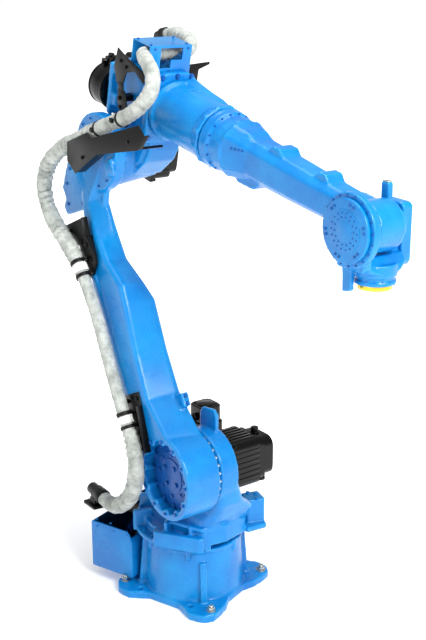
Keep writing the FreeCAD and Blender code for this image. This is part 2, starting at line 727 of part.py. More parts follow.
# ====================================================================== WRIST
cn, cg = d("cheek_near"), d("cheek_gap")
near = fuse(cyl("cheek_rad", 16, (0, cn, 0), "y"),
            cone("cheek_rad", 86, 20, (0, cn + 16, 0), "y"),
            cyl(86, 6, (0, -73, 0), "y"),
            prism([(-60, -20), (60, -20), (54, -110), (-54, -110)], -96, -67, "xz", 10))
far_c = prism([(-66, 30), (-54, 50), (-12, 50), (2, -60), (2, -112), (-54, -112), (-70, -60)],
              cg, 84, "xz", 8)
bridge = loft([(-79.5, rect(-22, 22, -92, 84), 8),
               (-100, rect(-44, 44, -92, 84), 16),
               (-122, rect(-56, 56, -66, 62), 34)])
bell = fuse(cyl(62, 36, (0, 0, -136)), cyl(56, 24, (0, 0, -158)))
lug2 = prism([(-50, -96), (-10, -96), (-12, -176), (-44, -184)], -82, -66, "xz", 4)
bore = cyl(32, 34, (0, 0, -170))
post = prism([(-56, 20), (-56, 108), (-28, 108), (-24, 20)], 63, 83, "xz", 3)
boss = cyl(50, 14, (0, 51, 0), "y")
node(cut(fuse(near, far_c, post, boss, bridge, bell, lug2), bore), "wrist_casting", T_WRIST)
node(fuse(cyl(90, 12.7, (0, cn - 13, 0), "y"), cyl(58, 3, (0, cn - 15, 0), "y")),
     "wrist_near_cover", T_WRIST)
node(prism([(-76, 40), (-64, 58), (4, 54), (13, 44), (14, -112), (4, -126), (-60, -126),
            (-80, -60)], 84.4, 122, "xz", 8), "wrist_far_cover", T_WRIST)

# ================================================================ TOOL FLANGE
to, ft = d("tool_offset"), d("flange_thick")
pcd, br = d("tool_bolt_circle") / 2, d("tool_bolt_rad")
holes = [cyl("tool_bolt_rad", 40, (pcd * math.cos(math.radians(30 + 60 * k)),
                                   pcd * math.sin(math.radians(30 + 60 * k)), -to - 10))
         for k in range(6)]
node(cut(fuse(cyl("flange_rad", ft, (0, 0, -to)),
              cyl(31.7, 18, (0, 0, -to + ft - 2))),
         cyl(25, 6, (0, 0, -to - 0.01)), *holes), "tool_flange", T_WRIST)

doc.recompute()

# ======================================================================= HOSE
# one sleeve from the turret socket to the far side of the elbow, in spans:
# two of them cross a joint.
UL = [(-165, -262, 872), (-212, -262, 945), (-246, -261, 1020), (-256, -257, 1098),
      (-222, -250, 1160), (-160, -242, 1194), (-88, -226, 1207), (-20, -213, 1202),
      (50, -210, 1193)]


def world(frame, pts):
    return [frame.multVec(V(*p)) for p in pts]


route = (world(T_TURRET, HL) + world(T_ARM, HA + UL) + world(T_UPPER, HU))
i_arm, i_loop, i_up = len(HL), len(HL) + 6, len(HL) + len(HA) + len(UL)


def route_edges(P, tight=0.45):
    """Edges of the whole route; each run is split at its middle, so a span can
    start or end there.  Returns a list of edge lists, one per half-run and
    corner: runs[k] holds everything from the middle of run k to the middle of
    run k + 1."""
    mids = [(P[i] + P[i + 1]) * 0.5 for i in range(len(P) - 1)]
    spans, radii = [], []
    for i in range(1, len(P) - 1):
        a, b = P[i - 1] - P[i], P[i + 1] - P[i]
        la, lb = a.Length, b.Length
        a.normalize()
        b.normalize()
        ang = math.acos(max(-1, min(1, a.dot(b))))
        t = tight * min(la, lb)
        bis = (a + b).normalize()
        r = t * math.tan(ang / 2)
        cen = P[i] + bis * (r / math.sin(ang / 2))
        s, m, e = P[i] + a * t, cen - bis * r, P[i] + b * t
        spans.append([Part.LineSegment(mids[i - 1], s).toShape(),
                      Part.Arc(s, m, e).toShape(),
                      Part.LineSegment(e, mids[i]).toShape()])
        radii.append(r)
    head = [Part.LineSegment(P[0], mids[0]).toShape()]
    tail = [Part.LineSegment(mids[-1], P[-1]).toShape()]
    return head, spans, tail, radii, mids


head, spans, tail, radii, mids = route_edges(route)
print("hose arc radii, mm:", [round(r) for r in radii])


def hose_span(name, edges, start, ahead):
    wire = Part.Wire(edges)
    r = d("hose_rad")
    ring_ = Part.Wire([Part.makeCircle(r, start, ahead)])
    shape = wire.makePipeShell([ring_], True, False)
    if shape.ShapeType != "Solid":
        shape = shape.Solids[0] if shape.Solids else Part.Solid(shape)
    want = math.pi * r * r * wire.Length
    print("%s: length %.0f mm, volume ratio %.4f" % (name, wire.Length,
                                                     shape.Volume / want))
    o = doc.addObject("Part::Feature", name)
    o.Shape = shape
    return node(o, name, T_BASE)


def flat(groups):
    return [e for g in groups for e in g]


# span boundaries are the middles of the runs inside the clamps
k1, k2, k3 = i_arm, i_loop, i_up          # run indices HA0-HA1, HA6-HA7, HU0-HU1
hose_span("hose_lower_loop", head + flat(spans[:k1]), route[0], route[1] - route[0])
hose_span("hose_arm_run", flat(spans[k1:k2]), mids[k1], route[k1 + 1] - route[k1])
hose_span("hose_upper_loop", flat(spans[k2:k3]), mids[k2], route[k2 + 1] - route[k2])
hose_span("hose_elbow_run", flat(spans[k3:]) + tail, mids[k3], route[k3 + 1] - route[k3])

# socket and its strain relief at the start of the hose, and the far-side gland
S0, S1 = V(*HL[0]), V(*HL[1])
du = (S1 - S0).normalize()
rot = Rotation(V(0, 0, 1), du)
node(fuse(cyl(29, 30, tuple(S0 - du * 30.3), rot), cyl(27, 26, tuple(S0 - du * 55), rot),
          cyl(22, 40, tuple(S0 - du * 92), rot),
          box(-318, -284, -250, -212, 274.3, 298)), "hose_socket", T_TURRET)
E0, E1 = V(*HU[-1]), V(*HU[-2])
de = (E0 - E1).normalize()
rote = Rotation(V(0, 0, 1), de)
node(fuse(cyl(28, 24, tuple(E0 + de * 0.3), rote), cyl(20, 30, tuple(E0 + de * 22), rote),
          box(-112, -80, 126, 158, 332.3, 356)), "far_gland", T_UPPER)

# ---------------------------------------------------------------- validation
doc.recompute()
bad = [o.Name + " " + ",".join(o.State) for o in doc.Objects
       if "Invalid" in o.State or "Error" in o.State]
if bad:
    raise SystemExit("failed objects: " + "; ".join(
        b + " of " + ", ".join(c.Name for c in doc.getObject(b.split()[0]).OutList) for b in bad))
for o, name in NODES:
    s = o.Shape
    if s.isNull() or not s.isValid() or not s.Solids:
        raise SystemExit("bad shape: " + name)
os.makedirs("parts", exist_ok=True)
for o, name in NODES:
    o.Shape.exportStep("parts/%s.step" % name)
    print("%-22s solids %d volume %.0f" % (name, len(o.Shape.Solids), o.Shape.Volume))
print(len(NODES), "nodes, solid volume %.4f m3" % (sum(o.Shape.Volume for o, n in NODES) / 1e9))
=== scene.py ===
import json, math, random
import bpy, bmesh
import numpy as np
from mathutils import Matrix, Vector, Quaternion, Euler


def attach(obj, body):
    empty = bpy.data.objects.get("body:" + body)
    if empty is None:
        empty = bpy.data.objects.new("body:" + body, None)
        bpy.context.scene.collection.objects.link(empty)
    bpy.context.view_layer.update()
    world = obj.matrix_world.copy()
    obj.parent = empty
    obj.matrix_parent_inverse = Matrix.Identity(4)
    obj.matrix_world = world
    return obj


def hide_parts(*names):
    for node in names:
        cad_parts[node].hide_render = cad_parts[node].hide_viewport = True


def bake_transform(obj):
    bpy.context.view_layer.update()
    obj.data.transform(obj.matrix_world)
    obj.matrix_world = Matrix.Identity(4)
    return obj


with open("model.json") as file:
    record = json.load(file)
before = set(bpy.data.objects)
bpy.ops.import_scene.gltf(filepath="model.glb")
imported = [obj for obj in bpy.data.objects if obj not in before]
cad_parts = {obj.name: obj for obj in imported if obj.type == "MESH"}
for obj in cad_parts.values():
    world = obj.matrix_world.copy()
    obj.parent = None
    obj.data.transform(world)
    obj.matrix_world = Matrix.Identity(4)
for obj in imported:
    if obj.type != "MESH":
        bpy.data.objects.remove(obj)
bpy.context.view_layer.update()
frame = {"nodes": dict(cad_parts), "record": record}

N = frame["nodes"]

# ------------------------------------------------------------------ link frames
mm = 0.001
SWIVEL, LEAN, PITCH = math.radians(-20.5), math.radians(-25.93), math.radians(12.55)
M_BASE = Matrix.Identity(4)
M_TURRET = Matrix.Rotation(SWIVEL, 4, "Z")
M_ARM = M_TURRET @ Matrix.Translation((0.145, 0, 0.540)) @ Matrix.Rotation(LEAN, 4, "Y")
M_UPPER = M_ARM @ Matrix.Translation((0, 0, 1.150)) @ Matrix.Rotation(PITCH - LEAN, 4, "Y")
M_WRIST = M_UPPER @ Matrix.Translation((1.225, 0, 0.210)) @ Matrix.Rotation(-PITCH, 4, "Y")
FR = {"base": M_BASE, "turret": M_TURRET, "arm": M_ARM, "upper": M_UPPER, "wrist": M_WRIST}

# ------------------------------------------------------------------ camera
cam_data = bpy.data.cameras.new("camera")
cam_data.lens = 63.67
cam_data.sensor_width = 36.0
cam_data.clip_end = 50
cam = bpy.data.objects.new("camera", cam_data)
bpy.context.scene.collection.objects.link(cam)
cam.location = (2.1239, -3.0844, 2.17765)
cam.rotation_euler = (math.radians(90 - 17.1418), 0, math.radians(33.46))
bpy.context.scene.camera = cam


# ------------------------------------------------------------------ node helpers
def lin(c):
    return tuple(((x / 255) / 12.92 if x / 255 <= 0.04045 else ((x / 255 + 0.055) / 1.055) ** 2.4) for x in c)


def mat(name):
    m = bpy.data.materials.new(name)
    m.use_nodes = True
    return m


class NT:
    def __init__(self, m):
        self.t = m.node_tree
        self.b = self.t.nodes["Principled BSDF"]

    def n(self, kind, **kw):
        x = self.t.nodes.new(kind)
        for k, v in kw.items():
            setattr(x, k, v)
        return x

    def l(self, a, b):
        self.t.links.new(a, b)

    def coords(self):
        return self.n("ShaderNodeTexCoord").outputs["Object"]

    def noise(self, scale, detail=3.0, rough=0.55, vec=None):
        x = self.n("ShaderNodeTexNoise")
        x.inputs["Scale"].default_value = scale
        x.inputs["Detail"].default_value = detail
        x.inputs["Roughness"].default_value = rough
        self.l(vec if vec is not None else self.coords(), x.inputs["Vector"])
        return x.outputs["Fac"]

    def ramp(self, fac, stops):
        x = self.n("ShaderNodeValToRGB")
        while len(x.color_ramp.elements) < len(stops):
            x.color_ramp.elements.new(0.5)
        for e, (p, c) in zip(x.color_ramp.elements, stops):
            e.position = p
            e.color = (c, c, c, 1) if isinstance(c, (int, float)) else (*c, 1)
        self.l(fac, x.inputs["Fac"])
        return x.outputs["Color"]

    def mix(self, fac, a, b, mode="MIX"):
        x = self.n("ShaderNodeMix", data_type="RGBA", blend_type=mode)
        for sock, v in ((x.inputs[0], fac), (x.inputs[6], a), (x.inputs[7], b)):
            if isinstance(v, (int, float)):
                sock.default_value = v
            elif isinstance(v, tuple):
                sock.default_value = (*v, 1) if len(v) == 3 else v
            else:
                self.l(v, sock)
        return x.outputs[2]

    def bump(self, height, strength, dist, normal=None):
        x = self.n("ShaderNodeBump")
        x.inputs["Strength"].default_value = strength
        x.inputs["Distance"].default_value = dist
        self.l(height, x.inputs["Height"])
        if normal is not None:
            self.l(normal, x.inputs["Normal"])
        return x.outputs["Normal"]

    def math(self, op, a, b=None):
        x = self.n("ShaderNodeMath", operation=op)
        for sock, v in ((x.inputs[0], a), (x.inputs[1], b)):
            if v is None:
                continue
            if isinstance(v, (int, float)):
                sock.default_value = v
            else:
                self.l(v, sock)
        return x.outputs[0]


def enamel(name, colour, dark, light, rough=(0.24, 0.36), grain=1.0, dense=False):
    """Enamel sprayed over a casting: soft tone drift, orange peel, and on dense meshes a painted highlight on proud
    edges and painted shade in the hollows."""
    m = mat(name)
    t = NT(m)
    v = t.coords()
    big = t.noise(2.4, 3, 0.6, v)
    col = t.mix(t.ramp(big, [(0.35, 0.0), (0.7, 1.0)]), dark, colour)
    mid = t.noise(11, 4, 0.6, v)
    col = t.mix(t.ramp(mid, [(0.45, 0.0), (0.85, 0.30)]), col, light)
    speck = t.ramp(t.noise(190, 2, 0.5, v), [(0.68, 0.0), (0.74, 0.35)])
    col = t.mix(speck, col, tuple(c * 0.6 for c in dark))
    if dense:
        geo = t.n("ShaderNodeNewGeometry")
        # painted highlight: proud edges (high Pointiness) mixed towards the lighter enamel tone
        painted_edge_highlight = t.ramp(geo.outputs["Pointiness"], [(0.512, 0.0), (0.57, 1.0)])
        col = t.mix(t.math("MULTIPLY", painted_edge_highlight, 0.34), col, light)
        # painted shade: hollows (low Pointiness) mixed towards a darker enamel tone
        painted_hollow_shade = t.ramp(geo.outputs["Pointiness"], [(0.43, 1.0), (0.492, 0.0)])
        col = t.mix(t.math("MULTIPLY", painted_hollow_shade, 0.5), col, tuple(c * 0.45 for c in dark))
    t.l(col, t.b.inputs["Base Color"])
    r = t.ramp(t.noise(18, 3, 0.5, v), [(0.3, rough[0]), (0.75, rough[1])])
    t.l(r, t.b.inputs["Roughness"])
    t.b.inputs["Coat Weight"].default_value = 0.1
    t.b.inputs["Specular IOR Level"].default_value = 0.35
    t.b.inputs["Coat Roughness"].default_value = 0.14
    nrm = t.bump(t.noise(420, 2, 0.5, v), 0.10 * grain, 0.0006)
    nrm = t.bump(t.noise(55, 4, 0.6, v), 0.18 * grain, 0.0013, nrm)
    t.l(nrm, t.b.inputs["Normal"])
    return m


def plain(name, colour, rough=0.45, metal=0.0, var=0.2, scale=16, bump=0.12, fine=300, spec=0.5):
    m = mat(name)
    t = NT(m)
    v = t.coords()
    f = t.ramp(t.noise(scale, 4, 0.6, v), [(0.3, 0.0), (0.75, 1.0)])
    col = t.mix(f, tuple(c * (1 - var) for c in colour), tuple(min(1, c * (1 + var)) for c in colour))
    t.l(col, t.b.inputs["Base Color"])
    t.l(t.ramp(t.noise(scale * 0.6, 3, 0.5, v), [(0.3, rough * 0.85), (0.75, min(1, rough * 1.2))]),
        t.b.inputs["Roughness"])
    t.b.inputs["Metallic"].default_value = metal
    t.b.inputs["Specular IOR Level"].default_value = spec
    t.l(t.bump(t.noise(fine, 3, 0.6, v), bump, 0.0006), t.b.inputs["Normal"])
    return m


def fabric(name):
    """Coated woven sleeve: creases, random soiling, painted shade darkening the folds, fine weave."""
    m = mat(name)
    t = NT(m)
    v = t.coords()
    a = t.ramp(t.noise(26, 5, 0.65, v), [(0.32, 0.0), (0.68, 1.0)])
    col = t.mix(a, lin((132, 138, 132)), lin((196, 200, 194)))
    dirt = t.ramp(t.noise(60, 6, 0.75, v), [(0.52, 0.0), (0.75, 0.5)])
    col = t.mix(dirt, col, lin((96, 102, 99)))
    geo = t.n("ShaderNodeNewGeometry")
    # painted shade: folds (low Pointiness) mixed towards dark grey
    painted_fold_shade = t.ramp(geo.outputs["Pointiness"], [(0.44, 1.0), (0.495, 0.0)])
    col = t.mix(t.math("MULTIPLY", painted_fold_shade, 0.75), col, lin((62, 68, 67)))
    t.l(col, t.b.inputs["Base Color"])
    t.b.inputs["Roughness"].default_value = 0.72
    t.b.inputs["Sheen Weight"].default_value = 0.2
    nrm = t.bump(t.noise(900, 2, 0.6, v), 0.25, 0.0006)
    nrm = t.bump(t.noise(70, 5, 0.7, v), 0.85, 0.005, nrm)
    t.l(nrm, t.b.inputs["Normal"])
    return m


B1, B2, B3 = lin((4, 134, 204)), lin((2, 107, 184)), lin((34, 170, 226))
BLUE = enamel("blue_enamel", B1, B2, B3)
CAST = enamel("blue_enamel_cast", B1, B2, B3, dense=True)
COVER = enamel("blue_cover_enamel", lin((6, 88, 168)), lin((4, 72, 146)), lin((16, 106, 190)), (0.3, 0.42))
MOTOR = plain("motor_black", lin((3, 4, 3)), 0.2, 0, 0.3, 12, 0.08, 380, 0.25)
SHEET = plain("sheet_black", lin((4, 5, 4)), 0.36, 0, 0.25, 10, 0.08, 420, 0.18)
RUBBER = plain("band_rubber", lin((6, 6, 6)), 0.5, 0, 0.2, 30, 0.2, 500, 0.3)
PLASTIC = plain("plastic_black", lin((8, 8, 9)), 0.42, 0, 0.2, 30, 0.14, 500, 0.3)
ZINC = plain("zinc_steel", lin((196, 198, 192)), 0.28, 1.0, 0.12, 60, 0.08, 500)
GOLD = plain("flange_gold", lin((236, 200, 70)), 0.26, 0.9, 0.12, 40, 0.06, 600)
SLEEVE = fabric("sleeve")
BAND = plain("white_band", lin((226, 228, 224)), 0.5, 0, 0.06, 30, 0.1, 500)

SLOT = {"blue_paint": BLUE, "blue_cover": COVER, "motor_black": MOTOR, "black_sheet": SHEET,
        "clamp_rubber": RUBBER, "black_plastic": PLASTIC, "hose_sleeve": SLEEVE,
        "zinc_bolts": ZINC, "flange_gold": GOLD}
for s in frame["record"]["subparts"]:
    o = N[s["node"]]
    o.data.materials.clear()
    o.data.materials.append(SLOT[s["material_slot"]])


# ------------------------------------------------------------------ mesh kit
AXM = {"z": Matrix.Identity(4), "x": Matrix.Rotation(math.pi / 2, 4, "Y"),
       "y": Matrix.Rotation(-math.pi / 2, 4, "X"),
       "-z": Matrix.Rotation(math.pi, 4, "X"), "-x": Matrix.Rotation(-math.pi / 2, 4, "Y"),
       "-y": Matrix.Rotation(math.pi / 2, 4, "X")}


def turn(axis):
    if isinstance(axis, str):
        return AXM[axis]
    return Vector(axis).to_track_quat("Z", "Y").to_matrix().to_4x4()


class Piece:
    """A mesh drawn in millimetres in one link's frame."""

    def __init__(self, name, link):
        self.name, self.link = name, link
        self.bm = bmesh.new()

    def take(self, b, m=None):
        if m is not None:
            b.transform(m)
        me = bpy.data.meshes.new("t")
        b.to_mesh(me)
        b.free()
        self.bm.from_mesh(me)
        bpy.data.meshes.remove(me)

    def cyl(self, c, axis, r, h, r2=None, seg=40, bev=0, bseg=2):
        b = bmesh.new()
        bmesh.ops.create_cone(b, cap_ends=True, segments=seg, radius1=r,
                              radius2=r if r2 is None else r2, depth=h)
        if bev:
            e = [e for e in b.edges if abs(e.verts[0].co.z - e.verts[1].co.z) < 1e-5]
            bmesh.ops.bevel(b, geom=e, offset=bev, segments=bseg, affect="EDGES", profile=0.5)
        self.take(b, Matrix.Translation(c) @ turn(axis) @ Matrix.Translation((0, 0, h / 2)))

    def box(self, x0, x1, y0, y1, z0, z1, bev=0, m=None):
        b = bmesh.new()
        bmesh.ops.create_cube(b, size=1)
        b.transform(Matrix.Translation(((x0 + x1) / 2, (y0 + y1) / 2, (z0 + z1) / 2)) @
                    Matrix.Diagonal((x1 - x0, y1 - y0, z1 - z0, 1)))
        if bev:
            bmesh.ops.bevel(b, geom=b.edges[:], offset=bev, segments=2, affect="EDGES", profile=0.5)
        self.take(b, m)

    def poly(self, pts, lo, hi, plane="xz", bev=0, m=None):
        b = bmesh.new()
        put = {"xz": lambda u, v, w: (u, w, v), "xy": lambda u, v, w: (u, v, w),
               "yz": lambda u, v, w: (w, u, v)}[plane]
        a = [b.verts.new(put(u, v, lo)) for u, v in pts]
        c = [b.verts.new(put(u, v, hi)) for u, v in pts]
        n = len(pts)
        b.faces.new(a)
        b.faces.new(c)
        for i in range(n):
            b.faces.new((a[i], a[(i + 1) % n], c[(i + 1) % n], c[i]))
        bmesh.ops.recalc_face_normals(b, faces=b.faces[:])
        if bev:
            bmesh.ops.bevel(b, geom=b.edges[:], offset=bev, segments=2, affect="EDGES", profile=0.5)
        self.take(b, m)

    def ring(self, c, r0, r1, z0, z1, a0, a1, seg=40):
        """Sector of a ring about the local z axis through c, angles in degrees."""
        b = bmesh.new()
        full = abs(a1 - a0) >= 360
        rows = []
        for k in range(seg + (0 if full else 1)):
            t = math.radians(a0 + (a1 - a0) * k / seg)
            rows.append([b.verts.new((c[0] + r * math.cos(t), c[1] + r * math.sin(t), z))
                         for r, z in ((r0, z0), (r1, z0), (r1, z1), (r0, z1))])
        n = len(rows)
        for k in range(n if full else n - 1):
            p, q = rows[k], rows[(k + 1) % n]
            for i in range(4):
                b.faces.new((p[i], p[(i + 1) % 4], q[(i + 1) % 4], q[i]))
        if not full:
            b.faces.new(rows[0])
            b.faces.new(rows[-1])
        bmesh.ops.recalc_face_normals(b, faces=b.faces[:])
        self.take(b)

    def bolt(self, c, axis, r, h=None, washer=True):
        """Hexagon head on a washer."""
        h = h or r * 0.9
        if washer:
            self.cyl(c, axis, r * 1.45, h * 0.28, seg=16)
        d = turn(axis) @ Vector((0, 0, h * 0.2))
        self.cyl(Vector(c) + d, axis, r * 1.12, h, seg=6, bev=r * 0.12, bseg=1)

    def screw(self, c, axis, r, h=None):
        """Socket head screw with its socket as a thin hexagonal disc on top."""
        h = h or r
        self.cyl(c, axis, r, h, seg=14, bev=r * 0.14, bseg=1)
        d = turn(axis) @ Vector((0, 0, h))
        self.cyl(Vector(c) + d, axis, r * 0.55, 0.15, seg=6)

    def mesh(self):
        me = bpy.data.meshes.new(self.name)
        self.bm.to_mesh(me)
        self.bm.free()
        me.transform(FR[self.link] @ Matrix.Scale(mm, 4))
        return me

    def done(self, body, material, nodes=(), angle=35):
        me = self.mesh()
        return put_in(self.name, me, body, material, nodes, angle)


def put_in(name, me, body, material, nodes=(), angle=35):
    me.materials.clear()
    me.materials.append(material)
    me.shade_smooth()
    me.set_sharp_from_angle(angle=math.radians(angle))
    o = bpy.data.objects.new(name, me)
    bpy.context.scene.collection.objects.link(o)
    if nodes:
        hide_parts(*nodes)
    if body:
        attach(o, body)
    return o


def around(c, axis, r, n, a0=0.0, span=360.0):
    """n points on a circle about an axis of the link's frame."""
    out = []
    for k in range(n):
        a = math.radians(a0 + span * k / n)
        u, v = r * math.cos(a), r * math.sin(a)
        out.append({"y": (c[0] + u, c[1], c[2] + v), "x": (c[0], c[1] + u, c[2] + v),
                    "z": (c[0] + u, c[1] + v, c[2])}[axis])
    return out


def casting(name, nodes, body, extra=(), voxel=4.5, rounds=5, material=None):
    """CAD solids and cast-on details melted into one skin with rounded edges."""
    bm = bmesh.new()
    for n in nodes:
        me = N[n].data.copy()
        me.transform(N[n].matrix_world)
        bm.from_mesh(me)
    for p in extra:
        bm.from_mesh(p.mesh())
    bmesh.ops.remove_doubles(bm, verts=bm.verts[:], dist=1e-6)
    me = bpy.data.meshes.new(name)
    bm.to_mesh(me)
    bm.free()
    me.materials.clear()
    tmp = bpy.data.objects.new(name + "_raw", me)
    bpy.context.scene.collection.objects.link(tmp)
    r = tmp.modifiers.new("r", "REMESH")
    r.mode = "VOXEL"
    r.voxel_size = voxel * mm
    r.use_smooth_shade = True
    k = tmp.modifiers.new("s", "SMOOTH")
    k.factor = 0.5
    k.iterations = rounds
    dg = bpy.context.evaluated_depsgraph_get()
    out = bpy.data.meshes.new_from_object(tmp.evaluated_get(dg))
    bpy.data.objects.remove(tmp)
    out.name = name
    out.materials.clear()
    out.materials.append(material or CAST)
    out.shade_smooth()
    o = bpy.data.objects.new(name, out)
    bpy.context.scene.collection.objects.link(o)
    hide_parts(*nodes)
    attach(o, body)
    print(name, "polygons", len(out.polygons))
    return o


def eased(name, node_, body, material, w=1.4, least=40):
    """The solid of one node with its sharp edges softened."""
    bm = bmesh.new()
    me = N[node_].data.copy()
    me.transform(N[node_].matrix_world)
    bm.from_mesh(me)
    bmesh.ops.remove_doubles(bm, verts=bm.verts[:], dist=2e-5)
    bmesh.ops.dissolve_limit(bm, angle_limit=math.radians(1), verts=bm.verts[:], edges=bm.edges[:])
    e = [e for e in bm.edges if len(e.link_faces) == 2 and e.calc_face_angle(0) > math.radians(least)]
    bmesh.ops.bevel(bm, geom=e, offset=w * mm, segments=2, affect="EDGES", profile=0.5, clamp_overlap=True)
    out = bpy.data.meshes.new(name)
    bm.to_mesh(out)
    bm.free()
    return put_in(name, out, body, material, [node_], 40)


# ------------------------------------------------------------------ base
p = Piece("base_extra", "base")
for x, y, r in ((189, 169, 27), (-189, 169, 27), (189, -169, 27), (-189, -169, 27),
                (110, 183, 24), (-110, 183, 24), (110, -183, 24), (-110, -183, 24)):
    p.ring((x, y), 9.6 if r == 27 else 9.6, r, 20, 31 if r == 27 else 30.5, 0, 360, 28)
p.ring((0, 0), 160, 181, 216, 226, 0, 360, 90)
for a in (0, 62, 118, 180, -62, -118):
    p.box(170, 184, -9, 9, 190, 232, 3, Matrix.Rotation(math.radians(a), 4, "Z"))
casting("base_body", ["base_casting"], "base", [p], 4.2, 5)

p = Piece("base_bolts", "base")
for sx in (1, -1):
    for sy in (1, -1):
        c = (sx * 189, sy * 169, 31)
        p.cyl(c, "z", 17, 3.5, seg=28, bev=0.8)
        p.cyl((c[0], c[1], 34), "z", 13, 12, seg=6, bev=1.2, bseg=1)
        p.cyl((c[0], c[1], 46), "z", 8, 7, seg=18, bev=1)
        p.cyl((c[0], c[1], 0), "z", 8.5, 32, seg=18)
p.done("base", ZINC, ["anchor_bolts"])

p = Piece("box_fittings", "base")
for y, z in ((-130, 60), (-40, 60), (50, 60), (140, 60)):
    p.bolt((-345, y, z), "-x", 5)
for x in (-332, -268):
    for y in (-150, 0, 150):
        p.bolt((x, y, 229), "z", 4.2)
for x in (-318, -240, -180):
    p.screw((x, -168, 215), "-y", 3.6)
p.done("base", BLUE)
p = Piece("box_glands", "base")
for x, y, r, h in ((-232, -128, 15, 120), (-205, -96, 12, 110), (-236, -84, 10, 96), (-222, 60, 17, 100)):
    p.cyl((x, y, 54), "z", r + 4, 12, seg=6, bev=1)
    p.cyl((x, y, 60), "z", r, h, seg=24, bev=1.5)
    p.cyl((x, y, 60 + h), "z", r + 3, 16, seg=6, bev=1)
    p.cyl((x, y, 74 + h), "z", r - 3, 18, r2=r - 5, seg=24, bev=1)
p.done("base", PLASTIC)
p = Piece("rear_plugs", "base")
p.box(-350, -345, -135, 145, 105, 195, 1.5)
for y, z, r in ((-95, 150, 30), (-10, 150, 30), (75, 165, 16), (120, 165, 16)):
    p.cyl((-356, y, z), "x", r + 5, 8, seg=40, bev=1.5)
    p.cyl((-371, y, z), "x", r, 22, seg=40, bev=2)
    for k in range(18):
        a = 2 * math.pi * k / 18
        p.box(-368, -358, -1.6, 1.6, r - 1, r + 1.6, 0.5,
              Matrix.Translation((0, y, z)) @ Matrix.Rotation(a, 4, "X"))
    p.cyl((-369, y, z), "-x", r * 0.62, 3, seg=30)
for y in (-128, -52, 35, 138):
    for z in (112, 188):
        p.screw((-350, y, z), "-x", 3)
p.done("base", PLASTIC, ["base_connectors"])

# ------------------------------------------------------------------ turret
p = Piece("turret_extra", "turret")
p.ring((0, 0), 150, 212, 243, 260, -112, -18, 50)       # stop flange in front
p.ring((0, 0), 150, 196, 262, 280, -176, -112, 40)      # flange at the near rear
p.ring((0, 0), 196, 206, 243, 296, -150, -116, 24)      # its rim
p.box(150, 222, -8, 8, 243, 322, 2, Matrix.Rotation(math.radians(-114), 4, "Z"))
p.box(140, 205, -10, 10, 262, 342, 3, Matrix.Rotation(math.radians(-141), 4, "Z"))
p.box(120, 196, -7, 7, 255, 334, 3, Matrix.Rotation(math.radians(-66), 4, "Z"))
p.box(120, 200, -7, 7, 255, 334, 3, Matrix.Rotation(math.radians(-38), 4, "Z"))
p.poly([(52, -166), (196, -104), (206, -70), (206, -20), (186, -20), (60, -120)], 318, 332, "xy", 3)
p.ring((0, 0), 168, 181, 240, 252, 0, 360, 90)
p.poly([(150, 102), (206, 90), (214, 172), (160, 190)], 262, 282, "xy", 3)
casting("turret_body", ["turret_casting", "turret_bumper", "turret_stop", "lifting_plate"],
        "turret", [p], 4.2, 5)

p = Piece("seat_bolts", "turret")
for c in around((145, -79, 540), "y", 131, 30):
    p.bolt(c, "-y", 4.4, 6, washer=False)
p.done("turret", ZINC)
p = Piece("turret_bolts", "turret")
for a in (-172, -160, -148, -136, -124):
    t = math.radians(a)
    p.bolt((184 * math.cos(t), 184 * math.sin(t), 279), "z", 6)
for a in (-100, -84, -52, -30):
    t = math.radians(a)
    p.bolt((196 * math.cos(t), 196 * math.sin(t), 259), "z", 5.5)
for x, y in ((128, 150), (150, 168), (184, 150)):
    p.bolt((x, y, 372), "z", 6)
for sx in (-1, 1):
    for sy in (-1, 1):
        p.screw((-80 + sx * 53, 112 + sy * 53, 320), "z", 5)
p.done("turret", BLUE)


